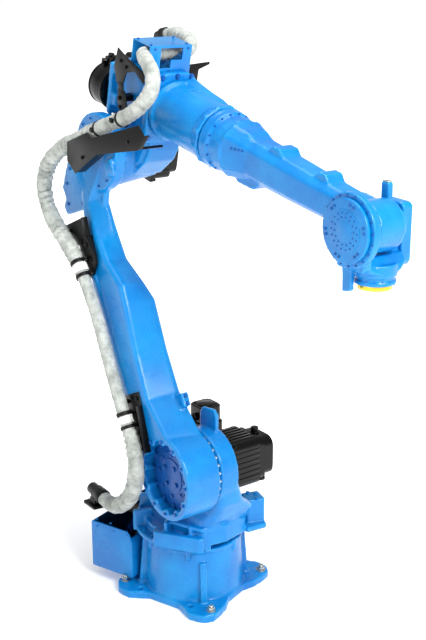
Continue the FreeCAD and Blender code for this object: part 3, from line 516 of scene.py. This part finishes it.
def motor(name, nodes, link, body, frame_m, half, stages, plugs, fins=5, tail=True):
    """Servo motor along its own z from a square flange: stages (z0, z1, half, round)."""
    p = Piece(name, link)

    def squircle(h, r, n=6):
        pts = []
        for sx, sy, a in ((1, 1, 0), (-1, 1, 90), (-1, -1, 180), (1, -1, 270)):
            for k in range(n + 1):
                t = math.radians(a + 90 * k / n)
                pts.append((sx * (h - r) + r * math.cos(t), sy * (h - r) + r * math.sin(t)))
        return pts
    for z0, z1, h, r in stages:
        b = bmesh.new()
        rows = []
        e = min(3.0, (z1 - z0) * 0.2)
        for z, q in ((z0, h - e), (z0 + e, h), (z1 - e, h), (z1, h - e)):
            rows.append([b.verts.new((u, v, z)) for u, v in squircle(q, r)])
        n = len(rows[0])
        b.faces.new(rows[0])
        b.faces.new(rows[-1])
        for i in range(3):
            for k in range(n):
                b.faces.new((rows[i][k], rows[i][(k + 1) % n], rows[i + 1][(k + 1) % n], rows[i + 1][k]))
        bmesh.ops.recalc_face_normals(b, faces=b.faces[:])
        p.take(b, frame_m)
    z0, z1, h, r = max(stages, key=lambda s: s[1] - s[0])
    w = (h - r) * 2 / max(1, fins)
    for side in range(4):
        m = frame_m @ Matrix.Rotation(math.pi / 2 * side, 4, "Z")
        for k in range(fins):
            u = -(h - r) + w * (k + 0.5)
            p.box(u - w * 0.24, u + w * 0.24, h - 1, h + 2.6, z0 + 7, z1 - 7, 0.8, m)
    f = stages[0]
    for sx in (-1, 1):
        for sy in (-1, 1):
            c = frame_m @ Vector((sx * (f[2] - 8), sy * (f[2] - 8), f[1]))
            d = (frame_m.to_3x3() @ Vector((0, 0, 1))).normalized()
            p.screw(c, d, 5.5, 7)
    l = stages[-1]
    if tail:
        c = frame_m @ Vector((0, 0, l[1] - 0.5))
        d = (frame_m.to_3x3() @ Vector((0, 0, 1))).normalized()
        p.cyl(c, d, l[2] * 0.72, 4, seg=44, bev=1.5)
        for k in range(4):
            a = math.radians(45 + 90 * k)
            q = frame_m @ Vector((l[2] * 0.78 * math.cos(a) * 1.1, l[2] * 0.78 * math.sin(a) * 1.1, l[1] - 1))
            p.screw(q, d, 4, 4)
    for (cx_, cy_, cz_, ax, r, hh) in plugs:
        c = frame_m @ Vector((cx_, cy_, cz_))
        d = (frame_m.to_3x3() @ Vector(ax)).normalized()
        p.cyl(c, d, r + 3, hh * 0.4, seg=20, bev=1)
        p.cyl(c, d, r, hh, seg=24, bev=1.5)
        p.cyl(c + d * hh * 0.55, d, r + 1.6, hh * 0.22, seg=12, bev=0.6)
    return p.done(body, MOTOR, nodes)


T_M = Matrix.Translation((-80, 112, 290.5))
motor("swivel_motor_body", ["swivel_motor"], "turret", "turret", T_M, 56,
      [(0, 30, 62, 8), (28, 250, 56, 18), (248, 312, 50, 20), (310, 372, 45, 22)],
      [(50, 0, 280, (1, 0, 0), 12, 22), (0, -48, 330, (0, -1, 0), 12, 22), (40, -20, 352, (1, 0, 0.4), 10, 20)])
T_M = Matrix.Translation((145, -7.5, 540)) @ AXM["y"]
motor("shoulder_motor_body", ["shoulder_motor"], "turret", "turret", T_M, 85,
      [(0, 20, 90, 14), (18, 137, 85, 26), (135, 160, 78, 30), (158, 203, 72, 34)],
      [(0, 74, 170, (0, 1, 0), 17, 32), (38, 70, 172, (0.3, 1, 0), 12, 26), (0, -70, 172, (0, -1, 0), 13, 24),
       (-60, -62, 120, (-0.6, -0.8, 0), 12, 22)], 6)

# ------------------------------------------------------------------ lower arm
p = Piece("arm_extra", "arm")
for i, c in enumerate(around((0, -225, 0), "y", 128, 12, 8)):
    p.cyl(c, "y", 15, 38, seg=20)
for c in around((0, -160, 1150), "y", 118, 12, 15):
    p.cyl((c[0], -161.5, c[2]), "y", 9, 6, seg=14)
p.poly([(-112, 150), (-60, 150), (-86, 420), (-100, 700), (-112, 860), (-136, 860), (-134, 700),
        (-122, 420)], -227.5, -216, "xz", 4)
p.poly([(-142, 1000), (-60, 960), (40, 1085), (96, 1060), (100, 1090), (20, 1120), (-90, 1060)],
       -150, -126, "xz", 4)
casting("arm_body", ["lower_arm_casting", "front_stop", "elbow_stop", "rear_bracket"],
        "lower_arm", [p], 4.8, 5)
p = Piece("arm_screws", "arm")
for c in around((0, -225.5, 0), "y", 129, 12, 8):
    p.screw(c, "-y", 6.2, 6)
for c in around((0, -160, 1150), "y", 118, 12, 15):
    p.screw((c[0], -161.5, c[2]), "-y", 4.6, 4)
for x, z in ((-255, 1040), (-228, 1110), (-180, 1150), (-150, 1010)):
    p.screw((x, -172, z), "-y", 6, 5)
for z in (224, 250):
    p.bolt((86, -110, z), "x", 5)
p.done("lower_arm", COVER)
p = Piece("recess_cover", "arm")
p.cyl((0, -187, 0), "y", 118, 12, seg=72, bev=2)
p.cyl((0, -194, 0), "y", 62, 8, seg=60, bev=2)
p.cyl((0, -190, 0), "y", 84, 4, seg=60, bev=1)
for c in around((0, -187, 0), "y", 108, 12, 8):
    p.bolt(c, "-y", 6)
for c in around((0, -190, 0), "y", 74, 8, 20):
    p.bolt(c, "-y", 5)
for c in around((0, -194, 0), "y", 40, 4, 30):
    p.bolt(c, "-y", 7)
p.done("lower_arm", COVER, ["shoulder_cover"])


def sheet_piece(name, link, body, node_, parts, bolts):
    p = Piece(name, link)
    for pts, lo, hi, plane in parts:
        p.poly(pts, lo, hi, plane, 0.8)
    for c, ax, r in bolts:
        p.bolt(c, ax, r)
    return p.done(body, SHEET, [node_])


sheet_piece("lower_holder", "arm", "lower_arm", "lower_hose_holder",
            [([(-115, 305), (-10, 305), (-12, 258), (-32, 96), (-112, 96)], -229, -225.2, "xz"),
             ([(-12.5, 258), (-32.5, 96), (-37, 96), (-17, 258)], -250, -226, "xz"),
             ([(-112, 258), (-108, 258), (-108, 98), (-112, 98)], -238, -227, "xz"),
             ([(-60, 200), (-52, 200), (-52, 250), (-60, 250)], -238, -228, "xz")],
            [((-28, -229, 284), "-y", 6), ((-96, -229, 284), "-y", 6), ((-60, -229, 292), "-y", 5),
             ((-52, -229, 150), "-y", 6)])
sheet_piece("upper_holder", "arm", "lower_arm", "upper_hose_holder",
            [([(-245, 905), (-245, 930), (-235, 955), (-80, 945), (-90, 880), (-62, 800),
               (-70, 775), (-98, 742), (-150, 735), (-152, 860)], -229, -224, "xz"),
             ([(-80, 945), (-90, 880), (-86, 880), (-76, 945)], -236, -212, "xz"),
             ([(-146, 770), (-80, 770), (-88, 880), (-148, 890)], -224.5, -200, "xz"),
             ([(-100, 742), (-150, 735), (-150, 739), (-100, 746)], -246, -226, "xz")],
            [((-100, -229, 850), "-y", 7), ((-128, -229, 870), "-y", 6), ((-96, -229, 796), "-y", 6),
             ((-180, -229, 925), "-y", 5)])

# ------------------------------------------------------------------ upper arm
p = Piece("elbow_extra", "upper")
for c in around((0, -112, 0), "y", 96, 10, 200, 180):
    p.cyl((c[0], -114, c[2]), "y", 10, 8, seg=16)
p.poly([(60, -60), (150, 10), (176, 70), (176, 110), (60, 110)], -74, -40, "xz", 5)
p.box(-58, -20, -84, -50, 150, 196, 4)
p.box(-64, -44, -92, -58, 120, 300, 3)
p.poly([(-62, 270), (-30, 300), (10, 312), (10, 296), (-40, 262)], -86, -50, "xz", 3)
casting("elbow_body", ["elbow_casting", "motor_plate"], "upper_arm", [p], 4.2, 5)
p = Piece("housing_extra", "upper")
p.cyl((222, 0, 210), "x", 103, 14, seg=72)
p.cyl((486, 0, 210), "x", 100, 7, seg=72)
for c in around((478, 0, 210), "x", 97, 12, 15):
    p.cyl(c, "x", 8, 15, seg=14)
p.cyl((214, 58, 316), (0.985, -0.06, -0.12), 7, 250, seg=16)
casting("housing_body", ["roll_housing"], "upper_arm", [p], 4.2, 4)
p = Piece("elbow_screws", "upper")
for y, z in ((92, 120), (-92, 120), (90, 262), (-90, 262), (57, 322), (-57, 322), (0, 325)):
    p.bolt((214, y, z), "x", 7)
for x, z in ((-30, -86), (20, -92), (62, -70), (92, -30)):
    p.bolt((x, -113, z), "-y", 5.5)
for c in around((494, 0, 210), "x", 89, 16, 10):
    p.screw((488, c[1], c[2]), "x", 4, 4)
for y, z in ((-60, 330), (20, 330), (-80, 410), (50, 410), (-20, 336)):
    p.screw((187, y, z), "x", 4, 4)
for x in (92, 172):
    for y in (-88, 52):
        p.screw((x, y, 420), "z", 4, 4)
for y, z in ((-66, 140), (-66, 284), (110, 214), (30, 292), (30, 132)):
    p.bolt((-82, y, z), "-x", 6)
p.done("upper_arm", COVER)

p = Piece("roll_motor_body", "upper")
my, mz = -30, 192
p.cyl((-95.5, my, mz), "x", 80, 12.8, seg=64, bev=2)
p.cyl((-171, my, mz), "x", 77, 76, seg=64, bev=3)
p.cyl((-189, my, mz), "x", 62, 19, r2=77, seg=64, bev=3)
p.cyl((-192, my, mz), "x", 46, 5, seg=48, bev=2)
for x in (-168, -108):
    p.cyl((x, my, mz), "x", 78.6, 7, seg=64, bev=1.4)
p.box(-168, -124, my - 19, my + 19, mz + 60, mz + 98, 4)
p.box(-126, -104, my - 15, my + 16, mz + 62, mz + 88, 3)
p.cyl((-156, my, mz + 94), "z", 11, 14, seg=24, bev=1.5)
p.cyl((-136, my + 2, mz + 94), "z", 8, 12, seg=24, bev=1.5)
p.cyl((-150, my - 18, mz + 82), (-0.4, -1, 0.1), 10, 20, seg=24, bev=1.5)
for c in around((-96, my, mz), "x", 72, 8, 22):
    p.screw(c, "-x", 4.5, 4)
p.done("upper_arm", MOTOR, ["roll_motor"])
for nme, nd, z, x0 in (("bend_motor_body", "bend_motor", 254, -214), ("twist_motor_body", "twist_motor", 164, -198)):
    m = Matrix.Translation((-82.7, 94, z)) @ AXM["-x"]
    L = -82.7 - x0
    motor(nme, [nd], "upper", "upper_arm", m, 34,
          [(0, 13, 38, 6), (12, L - 50, 34, 10), (L - 52, L, 31, 13)],
          [(0, 30 if z > 200 else -30, L - 26, (0, 1 if z > 200 else -1, 0), 10, 14)], 3)
T_M = Matrix.Translation((-34, 60.6, -50)) @ AXM["y"]
motor("elbow_motor_body", ["elbow_motor"], "upper", "upper_arm", T_M, 70,
      [(0, 16, 75, 12), (14, 84, 70, 24), (82, 122, 58, 28)],
      [(0, 56, 100, (0, 1, 0), 13, 26), (24, 56, 102, (0, 1, 0), 10, 20)], 5)

sheet_piece("tray_sheet", "upper", "upper_arm", "hose_tray",
            [([(22, -62), (149, 52), (388, 151), (419, 207), (381, 231), (96, 91),
               (75, 104), (-49, 29), (-39, -37)], -246, -242, "xz"),
             ([(24, -58), (149, 54), (386, 152), (384, 157), (147, 59), (21, -54)], -243, -206, "xz"),
             ([(270, 104), (300, 117), (297, 125), (267, 112)], -212, -86, "xz"),
             ([(386, 152), (416, 207), (412, 208), (382, 156)], -243, -226, "xz")],
            [((60, -246, 10), "-y", 5), ((330, -246, 160), "-y", 5)])
sheet_piece("guide_sheet", "upper", "upper_arm", "hose_guide",
            [([(-10, 300), (4, 368), (60, 352), (120, 340), (175, 330), (182, 300), (176, 292),
               (120, 318), (70, 300), (58, 262), (16, 250)], -108, -104.5, "xz"),
             ([(28, 236), (70, 236), (104, 170), (60, 150), (30, 190)], -108, -104.5, "xz"),
             ([(20, 258), (54, 262), (62, 236), (30, 236)], -108, -104.5, "xz"),
             ([(30, 196), (60, 196), (60, 216), (30, 216)], -105, -62, "xz")],
            [((44, -108, 206), "-y", 6), ((50, -108, 176), "-y", 5), ((30, -108, 330), "-y", 5),
             ((66, -108, 318), "-y", 5)])

# ------------------------------------------------------------------ forearm
p = Piece("fore_extra", "upper")
p.cyl((502, 0, 210), "x", 99, 8, seg=72)
p.poly([(600, 276), (636, 290), (668, 284), (700, 262), (640, 262)], -40, 40, "xz", 4)
p.poly([(1090, 236), (1140, 252), (1170, 262), (1170, 230), (1100, 220)], -52, -40, "xz", 4)
for c in around((566, 0, 210), "x", 86, 12, 15):
    p.cyl(c, "x", 6.5, 26, seg=14)
casting("fore_body", ["forearm_casting", "forearm_flange", "forearm_lugs"], "forearm", [p], 4.2, 5)
p = Piece("fore_screws", "upper")
for c in around((540, 0, 210), "x", 93.6, 18, 0):
    p.screw((540, c[1], c[2]), "x", 3.4, 4)
for k in range(4):
    p.screw((640 + 14 * k, -73 + 3.0 * k, 232 + 2 * k), "-y", 3.6, 4)
for x in (630, 680, 730):
    for y in (-22, 22):
        p.screw((x, y, 122 + abs(x - 680) * 0.3), "-z", 4, 4)
p.done("forearm", COVER)

# ------------------------------------------------------------------ wrist
p = Piece("wrist_extra", "wrist")
p.cyl((0, -93, 0), "y", 105, 5, seg=80)
p.poly([(-46, -96), (-20, -90), (16, -100), (40, -118), (-46, -118)], -84, 70, "xz", 5)
p.ring((0, 0), 48, 60, -160, -150, 0, 360, 60)
casting("wrist_body", ["wrist_casting"], "wrist", [p], 3.4, 4)
casting("wrist_box", ["wrist_far_cover"], "wrist", [], 3.4, 4)
p = Piece("near_disc", "wrist")
p.cyl((0, -121, 0), "y", 90, 13, seg=96, bev=3.5, bseg=3)
p.cyl((0, -122.5, 0), "y", 60, 3, seg=72, bev=1)
p.cyl((0, -123.2, 0), "y", 30, 2, seg=60, bev=0.8)
p.done("wrist", BLUE, ["wrist_near_cover"])
p = Piece("disc_screws", "wrist")
for c in around((0, -122.4, 0), "y", 38, 14, 5):
    p.screw(c, "-y", 2.6, 1.6)
for c in around((0, -122.4, 0), "y", 51, 18, 0):
    p.screw(c, "-y", 2.6, 1.6)
for a in range(0, 360, 60):
    for da in (-5.5, 5.5):
        t = math.radians(a + da + 10)
        p.screw((76 * math.cos(t), -121, 76 * math.sin(t)), "-y", 4.2, 3)
for c in around((0, -108, 0), "y", 97.5, 20, 4):
    p.screw(c, "-y", 3.2, 3)
for x, z in ((-62, 38), (-66, -58), (-6, 44), (3, -30), (2, -104), (-50, -112)):
    p.screw((x, 122, z), "y", 4.5, 3.5)
for c in around((0, 0, -148), "z", 56, 16, 0):
    a = Vector((c[0], c[1], 0)).normalized()
    p.screw((c[0], c[1], -148), a, 2.8, 2)
p.done("wrist", COVER)
p = Piece("post_cap", "wrist")
p.box(-53, -31, 65, 81, 107, 111, 1)
p.done("wrist", ZINC)

# ------------------------------------------------------------------ dress hose
HL = [(-250, -229, 312), (-200, -231, 308), (-148, -234, 322), (-92, -240, 356),
      (-38, -248, 402), (4, -256, 454), (26, -259, 510), (28, -259, 566), (16, -259, 620)]
HA = [(-84, -259, 176), (-92, -260, 262), (-97, -260, 360), (-98, -260, 460),
      (-97, -260, 560), (-104, -260, 650), (-120, -260, 735), (-140, -260, 806)]
UL = [(-165, -262, 872), (-212, -262, 945), (-246, -261, 1020), (-256, -257, 1098),
      (-222, -250, 1160), (-160, -242, 1194), (-88, -226, 1207), (-20, -213, 1202),
      (50, -210, 1193)]
HU = [(64, -210, 102), (119, -210, 136), (181, -210, 172), (248, -208, 212),
      (299, -204, 252), (332, -196, 291), (343, -184, 328), (322, -168, 360),
      (266, -148, 379), (208, -128, 384), (151, -104, 388), (136, -50, 385),
      (134, 0, 383), (136, 46, 381), (131, 82, 382), (111, 114, 388),
      (77, 137, 398), (22, 147, 405), (-28, 147, 399), (-76, 142, 380)]


def to_world(m, pts):
    return [m @ (Vector(p) * mm) for p in pts]


ROUTE = to_world(M_TURRET, HL) + to_world(M_ARM, HA + UL) + to_world(M_UPPER, HU)


def sample(P, step=0.003, tight=0.45):
    """Points along straight runs and tangent arcs, with the length where each run's middle lies."""
    pts, mids = [P[0].copy()], []

    def line(b):
        a = pts[-1]
        n = max(1, int((b - a).length / step))
        for k in range(1, n + 1):
            pts.append(a.lerp(b, k / n))
    for i in range(1, len(P) - 1):
        a, b = P[i - 1] - P[i], P[i + 1] - P[i]
        la, lb = a.length, b.length
        a.normalize(); b.normalize()
        ang = a.angle(b)
        t = tight * min(la, lb)
        r = t * math.tan(ang / 2)
        cen = P[i] + (a + b).normalized() * (r / math.sin(ang / 2))
        s, e = P[i] + a * t, P[i] + b * t
        line((P[i - 1] + P[i]) / 2)
        mids.append(len(pts) - 1)
        line(s)
        u, w = s - cen, e - cen
        ax = u.cross(w).normalized()
        full = u.angle(w)
        n = max(2, int(full * r / step))
        for k in range(1, n + 1):
            pts.append(cen + Quaternion(ax, full * k / n) @ u)
    line((P[-2] + P[-1]) / 2)
    mids.append(len(pts) - 1)
    line(P[-1])
    return pts, mids


PTS, MIDS = sample(ROUTE)
k1, k2, k3 = MIDS[len(HL)], MIDS[len(HL) + 6], MIDS[len(HL) + len(HA) + len(UL)]
rng = np.random.default_rng(11)
C = np.array([tuple(p) for p in PTS])
seg_l = np.linalg.norm(np.diff(C, axis=0), axis=1)
S = np.concatenate([[0], np.cumsum(seg_l)])
TAN = np.gradient(C, S, axis=0)
TAN /= np.linalg.norm(TAN, axis=1)[:, None]
# curvature vector, towards the inside of each bend
K = np.gradient(TAN, S, axis=0)
for _ in range(3):
    K = (np.roll(K, 1, 0) + K + np.roll(K, -1, 0)) / 3
# frames carried along without twist
nrm = np.zeros_like(C)
v0 = np.cross(TAN[0], [0, 0, 1.0])
nrm[0] = v0 / np.linalg.norm(v0)
for i in range(1, len(C)):
    v = nrm[i - 1] - TAN[i] * (nrm[i - 1] @ TAN[i])
    nrm[i] = v / np.linalg.norm(v)
BIN = np.cross(TAN, nrm)


def smooth_noise(s, wl, seed):
    r = np.random.default_rng(seed)
    n = int(s[-1] / wl) + 4
    vals = r.uniform(-1, 1, n)
    x = s / wl
    i = np.floor(x).astype(int)
    f = x - i
    f = f * f * (3 - 2 * f)
    return vals[i] * (1 - f) + vals[i + 1] * f


SA, SB, SC = S[k1], S[k2], S[k3]
base_r = np.interp(S, [0, 0.04, 0.10, SA - 0.10, SA - 0.045, SA - 0.02, SA, SB, SB + 0.02,
                       SB + 0.06, SC - 0.06, SC, S[-1] - 0.08, S[-1] - 0.02, S[-1]],
                   [24, 26.5, 29, 28.5, 25.5, 22.5, 22.5, 22.5, 22.5, 27.5, 28.5, 24.5, 23.5, 23.5, 22])
loose = np.interp(S, [0, 0.08, SA - 0.06, SA, SB, SB + 0.05, SC - 0.04, SC, S[-1]],
                  [0.5, 1, 1, 0.2, 0.2, 1.0, 1.0, 0.55, 0.55])
# keep the clamped stretches round
NS = 44
TH = np.linspace(0, 2 * np.pi, NS, endpoint=False)


def skin(i0, i1, seed):
    idx = np.arange(i0, i1 + 1)
    s = S[idx]
    th = TH[None, :]
    ss = s[:, None]
    lo = loose[idx][:, None]
    bend = np.linalg.norm(K[idx], axis=1)[:, None]
    kdir_n = (K[idx] * nrm[idx]).sum(1)[:, None]
    kdir_b = (K[idx] * BIN[idx]).sum(1)[:, None]
    inner = (np.cos(th) * kdir_n + np.sin(th) * kdir_b)          # >0 on the inside of the bend
    q = np.clip(inner / 12.0, -1, 1)
    warp = smooth_noise(S, 0.05, 3)[idx][:, None] * 0.012
    ph = smooth_noise(S, 0.09, 5)[idx][:, None] * 2.4
    w1 = np.sin(2 * np.pi * (ss + warp + 0.004 * np.sin(2 * th + ph)) / 0.027 + ph)
    w2 = np.sin(2 * np.pi * (ss - warp + 0.007 * np.sin(th * 3 + 1.7 * ph)) / 0.0165 + 2.1 * th)
    amp = smooth_noise(S, 0.035, 9)[idx][:, None] * 0.5 + 0.75
    sharp = np.sign(w1) * np.abs(w1) ** 0.7
    r = base_r[idx][:, None] + lo * (2.3 * amp * sharp * (0.8 + 0.9 * np.clip(q, -0.6, 1)) + 1.0 * w2 * (0.6 + 0.6 * q))
    r = r + lo * 1.0 * np.sin(th * 2 + ph * 1.3) + lo * 1.3 * smooth_noise(S, 0.018, 21)[idx][:, None]
    r = r + 0.5 * np.sin(5 * th + 9 * ss * 10) * lo
    r = r * mm
    pos = C[idx][:, None, :] + r[..., None] * (np.cos(th)[..., None] * nrm[idx][:, None, :] +
                                              np.sin(th)[..., None] * BIN[idx][:, None, :])
    n = len(idx)
    verts = pos.reshape(-1, 3)
    faces = []
    for a in range(n - 1):
        for b in range(NS):
            c = (b + 1) % NS
            faces.append((a * NS + b, a * NS + c, (a + 1) * NS + c, (a + 1) * NS + b))
    faces.append(tuple(range(NS - 1, -1, -1)))
    faces.append(tuple((n - 1) * NS + k for k in range(NS)))
    me = bpy.data.meshes.new("hose")
    me.from_pydata([tuple(v) for v in verts], [], faces)
    me.update()
    return me


def hose_piece(name, i0, i1, node_, rides=None):
    me = skin(i0, i1, 1)
    me.materials.append(SLEEVE)
    me.shade_smooth()
    o = bpy.data.objects.new(name, me)
    bpy.context.scene.collection.objects.link(o)
    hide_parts(node_)
    if rides:
        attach(o, rides)
    else:
        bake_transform(o)
    return o


hose_piece("sleeve_lower_loop", 0, k1, "hose_lower_loop")
hose_piece("sleeve_arm", k1, k2, "hose_arm_run", rides="lower_arm")
hose_piece("sleeve_upper_loop", k2, k3, "hose_upper_loop")
hose_piece("sleeve_elbow", k3, len(C) - 1, "hose_elbow_run", rides="upper_arm")


def band(name, specs, body, nodes, material):
    """Clamp bands round the hose: (index along the route, width, radius)."""
    bm = bmesh.new()
    for i, w, r in specs:
        n = 48
        rows = []
        prof = [(-w / 2, r - 2.4), (-w / 2, r - 0.5), (-w / 2 + 1.2, r), (w / 2 - 1.2, r), (w / 2, r - 0.5), (w / 2, r - 2.4)]
        for a in range(n):
            t = 2 * math.pi * a / n
            row = []
            for dz, rr in prof:
                q = C[i] + TAN[i] * dz * mm + (nrm[i] * math.cos(t) + BIN[i] * math.sin(t)) * rr * mm
                row.append(bm.verts.new(tuple(q)))
            rows.append(row)
        for a in range(n):
            p0, p1 = rows[a], rows[(a + 1) % n]
            for k in range(6):
                bm.faces.new((p0[k], p0[(k + 1) % 6], p1[(k + 1) % 6], p1[k]))
        # buckle
        t = math.pi * 0.75
        d = nrm[i] * math.cos(t) + BIN[i] * math.sin(t)
        e = np.cross(TAN[i], d)
        m = Matrix(((e[0], TAN[i][0], d[0], 0), (e[1], TAN[i][1], d[1], 0), (e[2], TAN[i][2], d[2], 0), (0, 0, 0, 1)))
        m.translation = Vector(C[i] + d * r * mm)
        b = bmesh.new()
        bmesh.ops.create_cube(b, size=1)
        b.transform(m @ Matrix.Diagonal((9 * mm, (w + 2) * mm, 5 * mm, 1)))
        t_ = bpy.data.meshes.new("t")
        b.to_mesh(t_)
        b.free()
        bm.from_mesh(t_)
    bmesh.ops.recalc_face_normals(bm, faces=bm.faces[:])
    me = bpy.data.meshes.new(name)
    bm.to_mesh(me)
    bm.free()
    return put_in(name, me, body, material, nodes)


def near_len(s):
    return int(np.argmin(np.abs(S - s)))


def arm_index(z, i=0):
    """Index on the arm run where the route passes height z of the arm's frame."""
    inv = M_ARM.inverted()
    zz = np.array([(inv @ Vector(C[k])).z for k in range(len(C))])
    lo, hi = near_len(S[k1] - 0.06), near_len(S[k2] + 0.10)
    return lo + int(np.argmin(np.abs(zz[lo:hi] - z * mm)))


band("bands_arm", [(arm_index(198), 12, 26.5), (arm_index(246), 13, 26.5),
                   (arm_index(746), 13, 27), (arm_index(800), 13, 27)],
     "lower_arm", ["arm_hose_clamps"], RUBBER)
band("bands_white", [(arm_index(222), 26, 26), (arm_index(773), 30, 26)], "lower_arm", [], BAND)
kk = k3 + 2
band("bands_tray", [(kk, 9, 27.5), (near_len(S[k3] + 0.155), 9, 27.5)], "upper_arm", ["tray_clamps"], RUBBER)
p = Piece("band_feet", "arm")
for x, z in ((-72, 198), (-74, 246), (-110, 746), (-128, 800)):
    p.box(x - 26, x + 18, -244, -229, z - 6, z + 6, 1.5)
    p.bolt((x + 12, -244, z), "-y", 4)
p.done("lower_arm", SHEET)
p = Piece("tray_feet", "upper")
for x, z in ((92, 118), (208, 190)):
    p.box(x - 9, x + 9, -242, -233, z - 7, z + 7, 1.5)
p.done("upper_arm", SHEET)

for n_, b_, m_, sl, w in (("connector_box", "base", BLUE, "blue_paint", 2.0), ("connector_lid", "base", BLUE, "blue_paint", 1.2),
                          ("cable_box", "upper_arm", BLUE, "blue_paint", 1.0), ("far_bracket", "upper_arm", SHEET, "black_sheet", 1.0),
                          ("hose_bracket", "turret", SHEET, "black_sheet", 1.2), ("hose_socket", "turret", PLASTIC, "black_plastic", 1.5),
                          ("far_gland", "upper_arm", PLASTIC, "black_plastic", 1.5), ("tool_flange", "tool", GOLD, "flange_gold", 1.0)):
    eased(n_ + "_body", n_, b_, m_, w)

# ------------------------------------------------------------------ stage
floor_m = mat("floor")
ft = NT(floor_m)
ft.b.inputs["Base Color"].default_value = (0.93, 0.93, 0.93, 1)
ft.b.inputs["Roughness"].default_value = 0.9
far_out = ft.n("ShaderNodeVectorMath", operation="LENGTH")
ft.l(ft.coords(), far_out.inputs[0])
glow = ft.ramp(ft.math("MULTIPLY", far_out.outputs["Value"], 0.25), [(0.12, 0.22), (1.0, 1.0)])
ft.b.inputs["Emission Color"].default_value = (1, 1, 1, 1)
ft.l(glow, ft.b.inputs["Emission Strength"])
me = bpy.data.meshes.new("floor")
bm = bmesh.new()
R = 80
# flat floor plane under the object
bmesh.ops.create_grid(bm, x_segments=1, y_segments=1, size=R)
bm.to_mesh(me)
bm.free()
floor = bpy.data.objects.new("floor", me)
bpy.context.scene.collection.objects.link(floor)
me.materials.append(floor_m)

world = bpy.data.worlds.new("world")
bpy.context.scene.world = world
world.use_nodes = True
wt = world.node_tree
wc = wt.nodes.new("ShaderNodeTexCoord")
ws = wt.nodes.new("ShaderNodeSeparateXYZ")
wr = wt.nodes.new("ShaderNodeValToRGB")
wt.links.new(wc.outputs["Generated"], ws.inputs[0])
wt.links.new(ws.outputs["Z"], wr.inputs["Fac"])
wr.color_ramp.elements[0].position = 0.14
wr.color_ramp.elements[0].color = (1, 1, 1, 1)
wr.color_ramp.elements[1].position = 0.32
wr.color_ramp.elements[1].color = (0.42, 0.42, 0.42, 1)
wt.links.new(wr.outputs["Color"], wt.nodes["Background"].inputs["Color"])
world.node_tree.nodes["Background"].inputs["Strength"].default_value = 1.02
bpy.context.scene.view_settings.view_transform = "Standard"


def area(name, loc, target, size, power, colour=(1, 1, 1)):
    d = bpy.data.lights.new(name, "AREA")
    d.shape = "RECTANGLE"
    d.size, d.size_y = size
    d.energy = power
    d.color = colour
    o = bpy.data.objects.new(name, d)
    bpy.context.scene.collection.objects.link(o)
    o.location = loc
    o.rotation_euler = (Vector(target) - Vector(loc)).to_track_quat("-Z", "Y").to_euler()
    return o


area("key", (4.2, -1.6, 4.2), (0.2, -0.1, 1.1), (2.2, 2.2), 300)
area("fill", (-0.8, -4.6, 2.4), (0, -0.1, 1.0), (2.6, 2.6), 26)
area("top", (0.2, 0.0, 5.0), (0, 0, 0.8), (3.0, 3.0), 120)
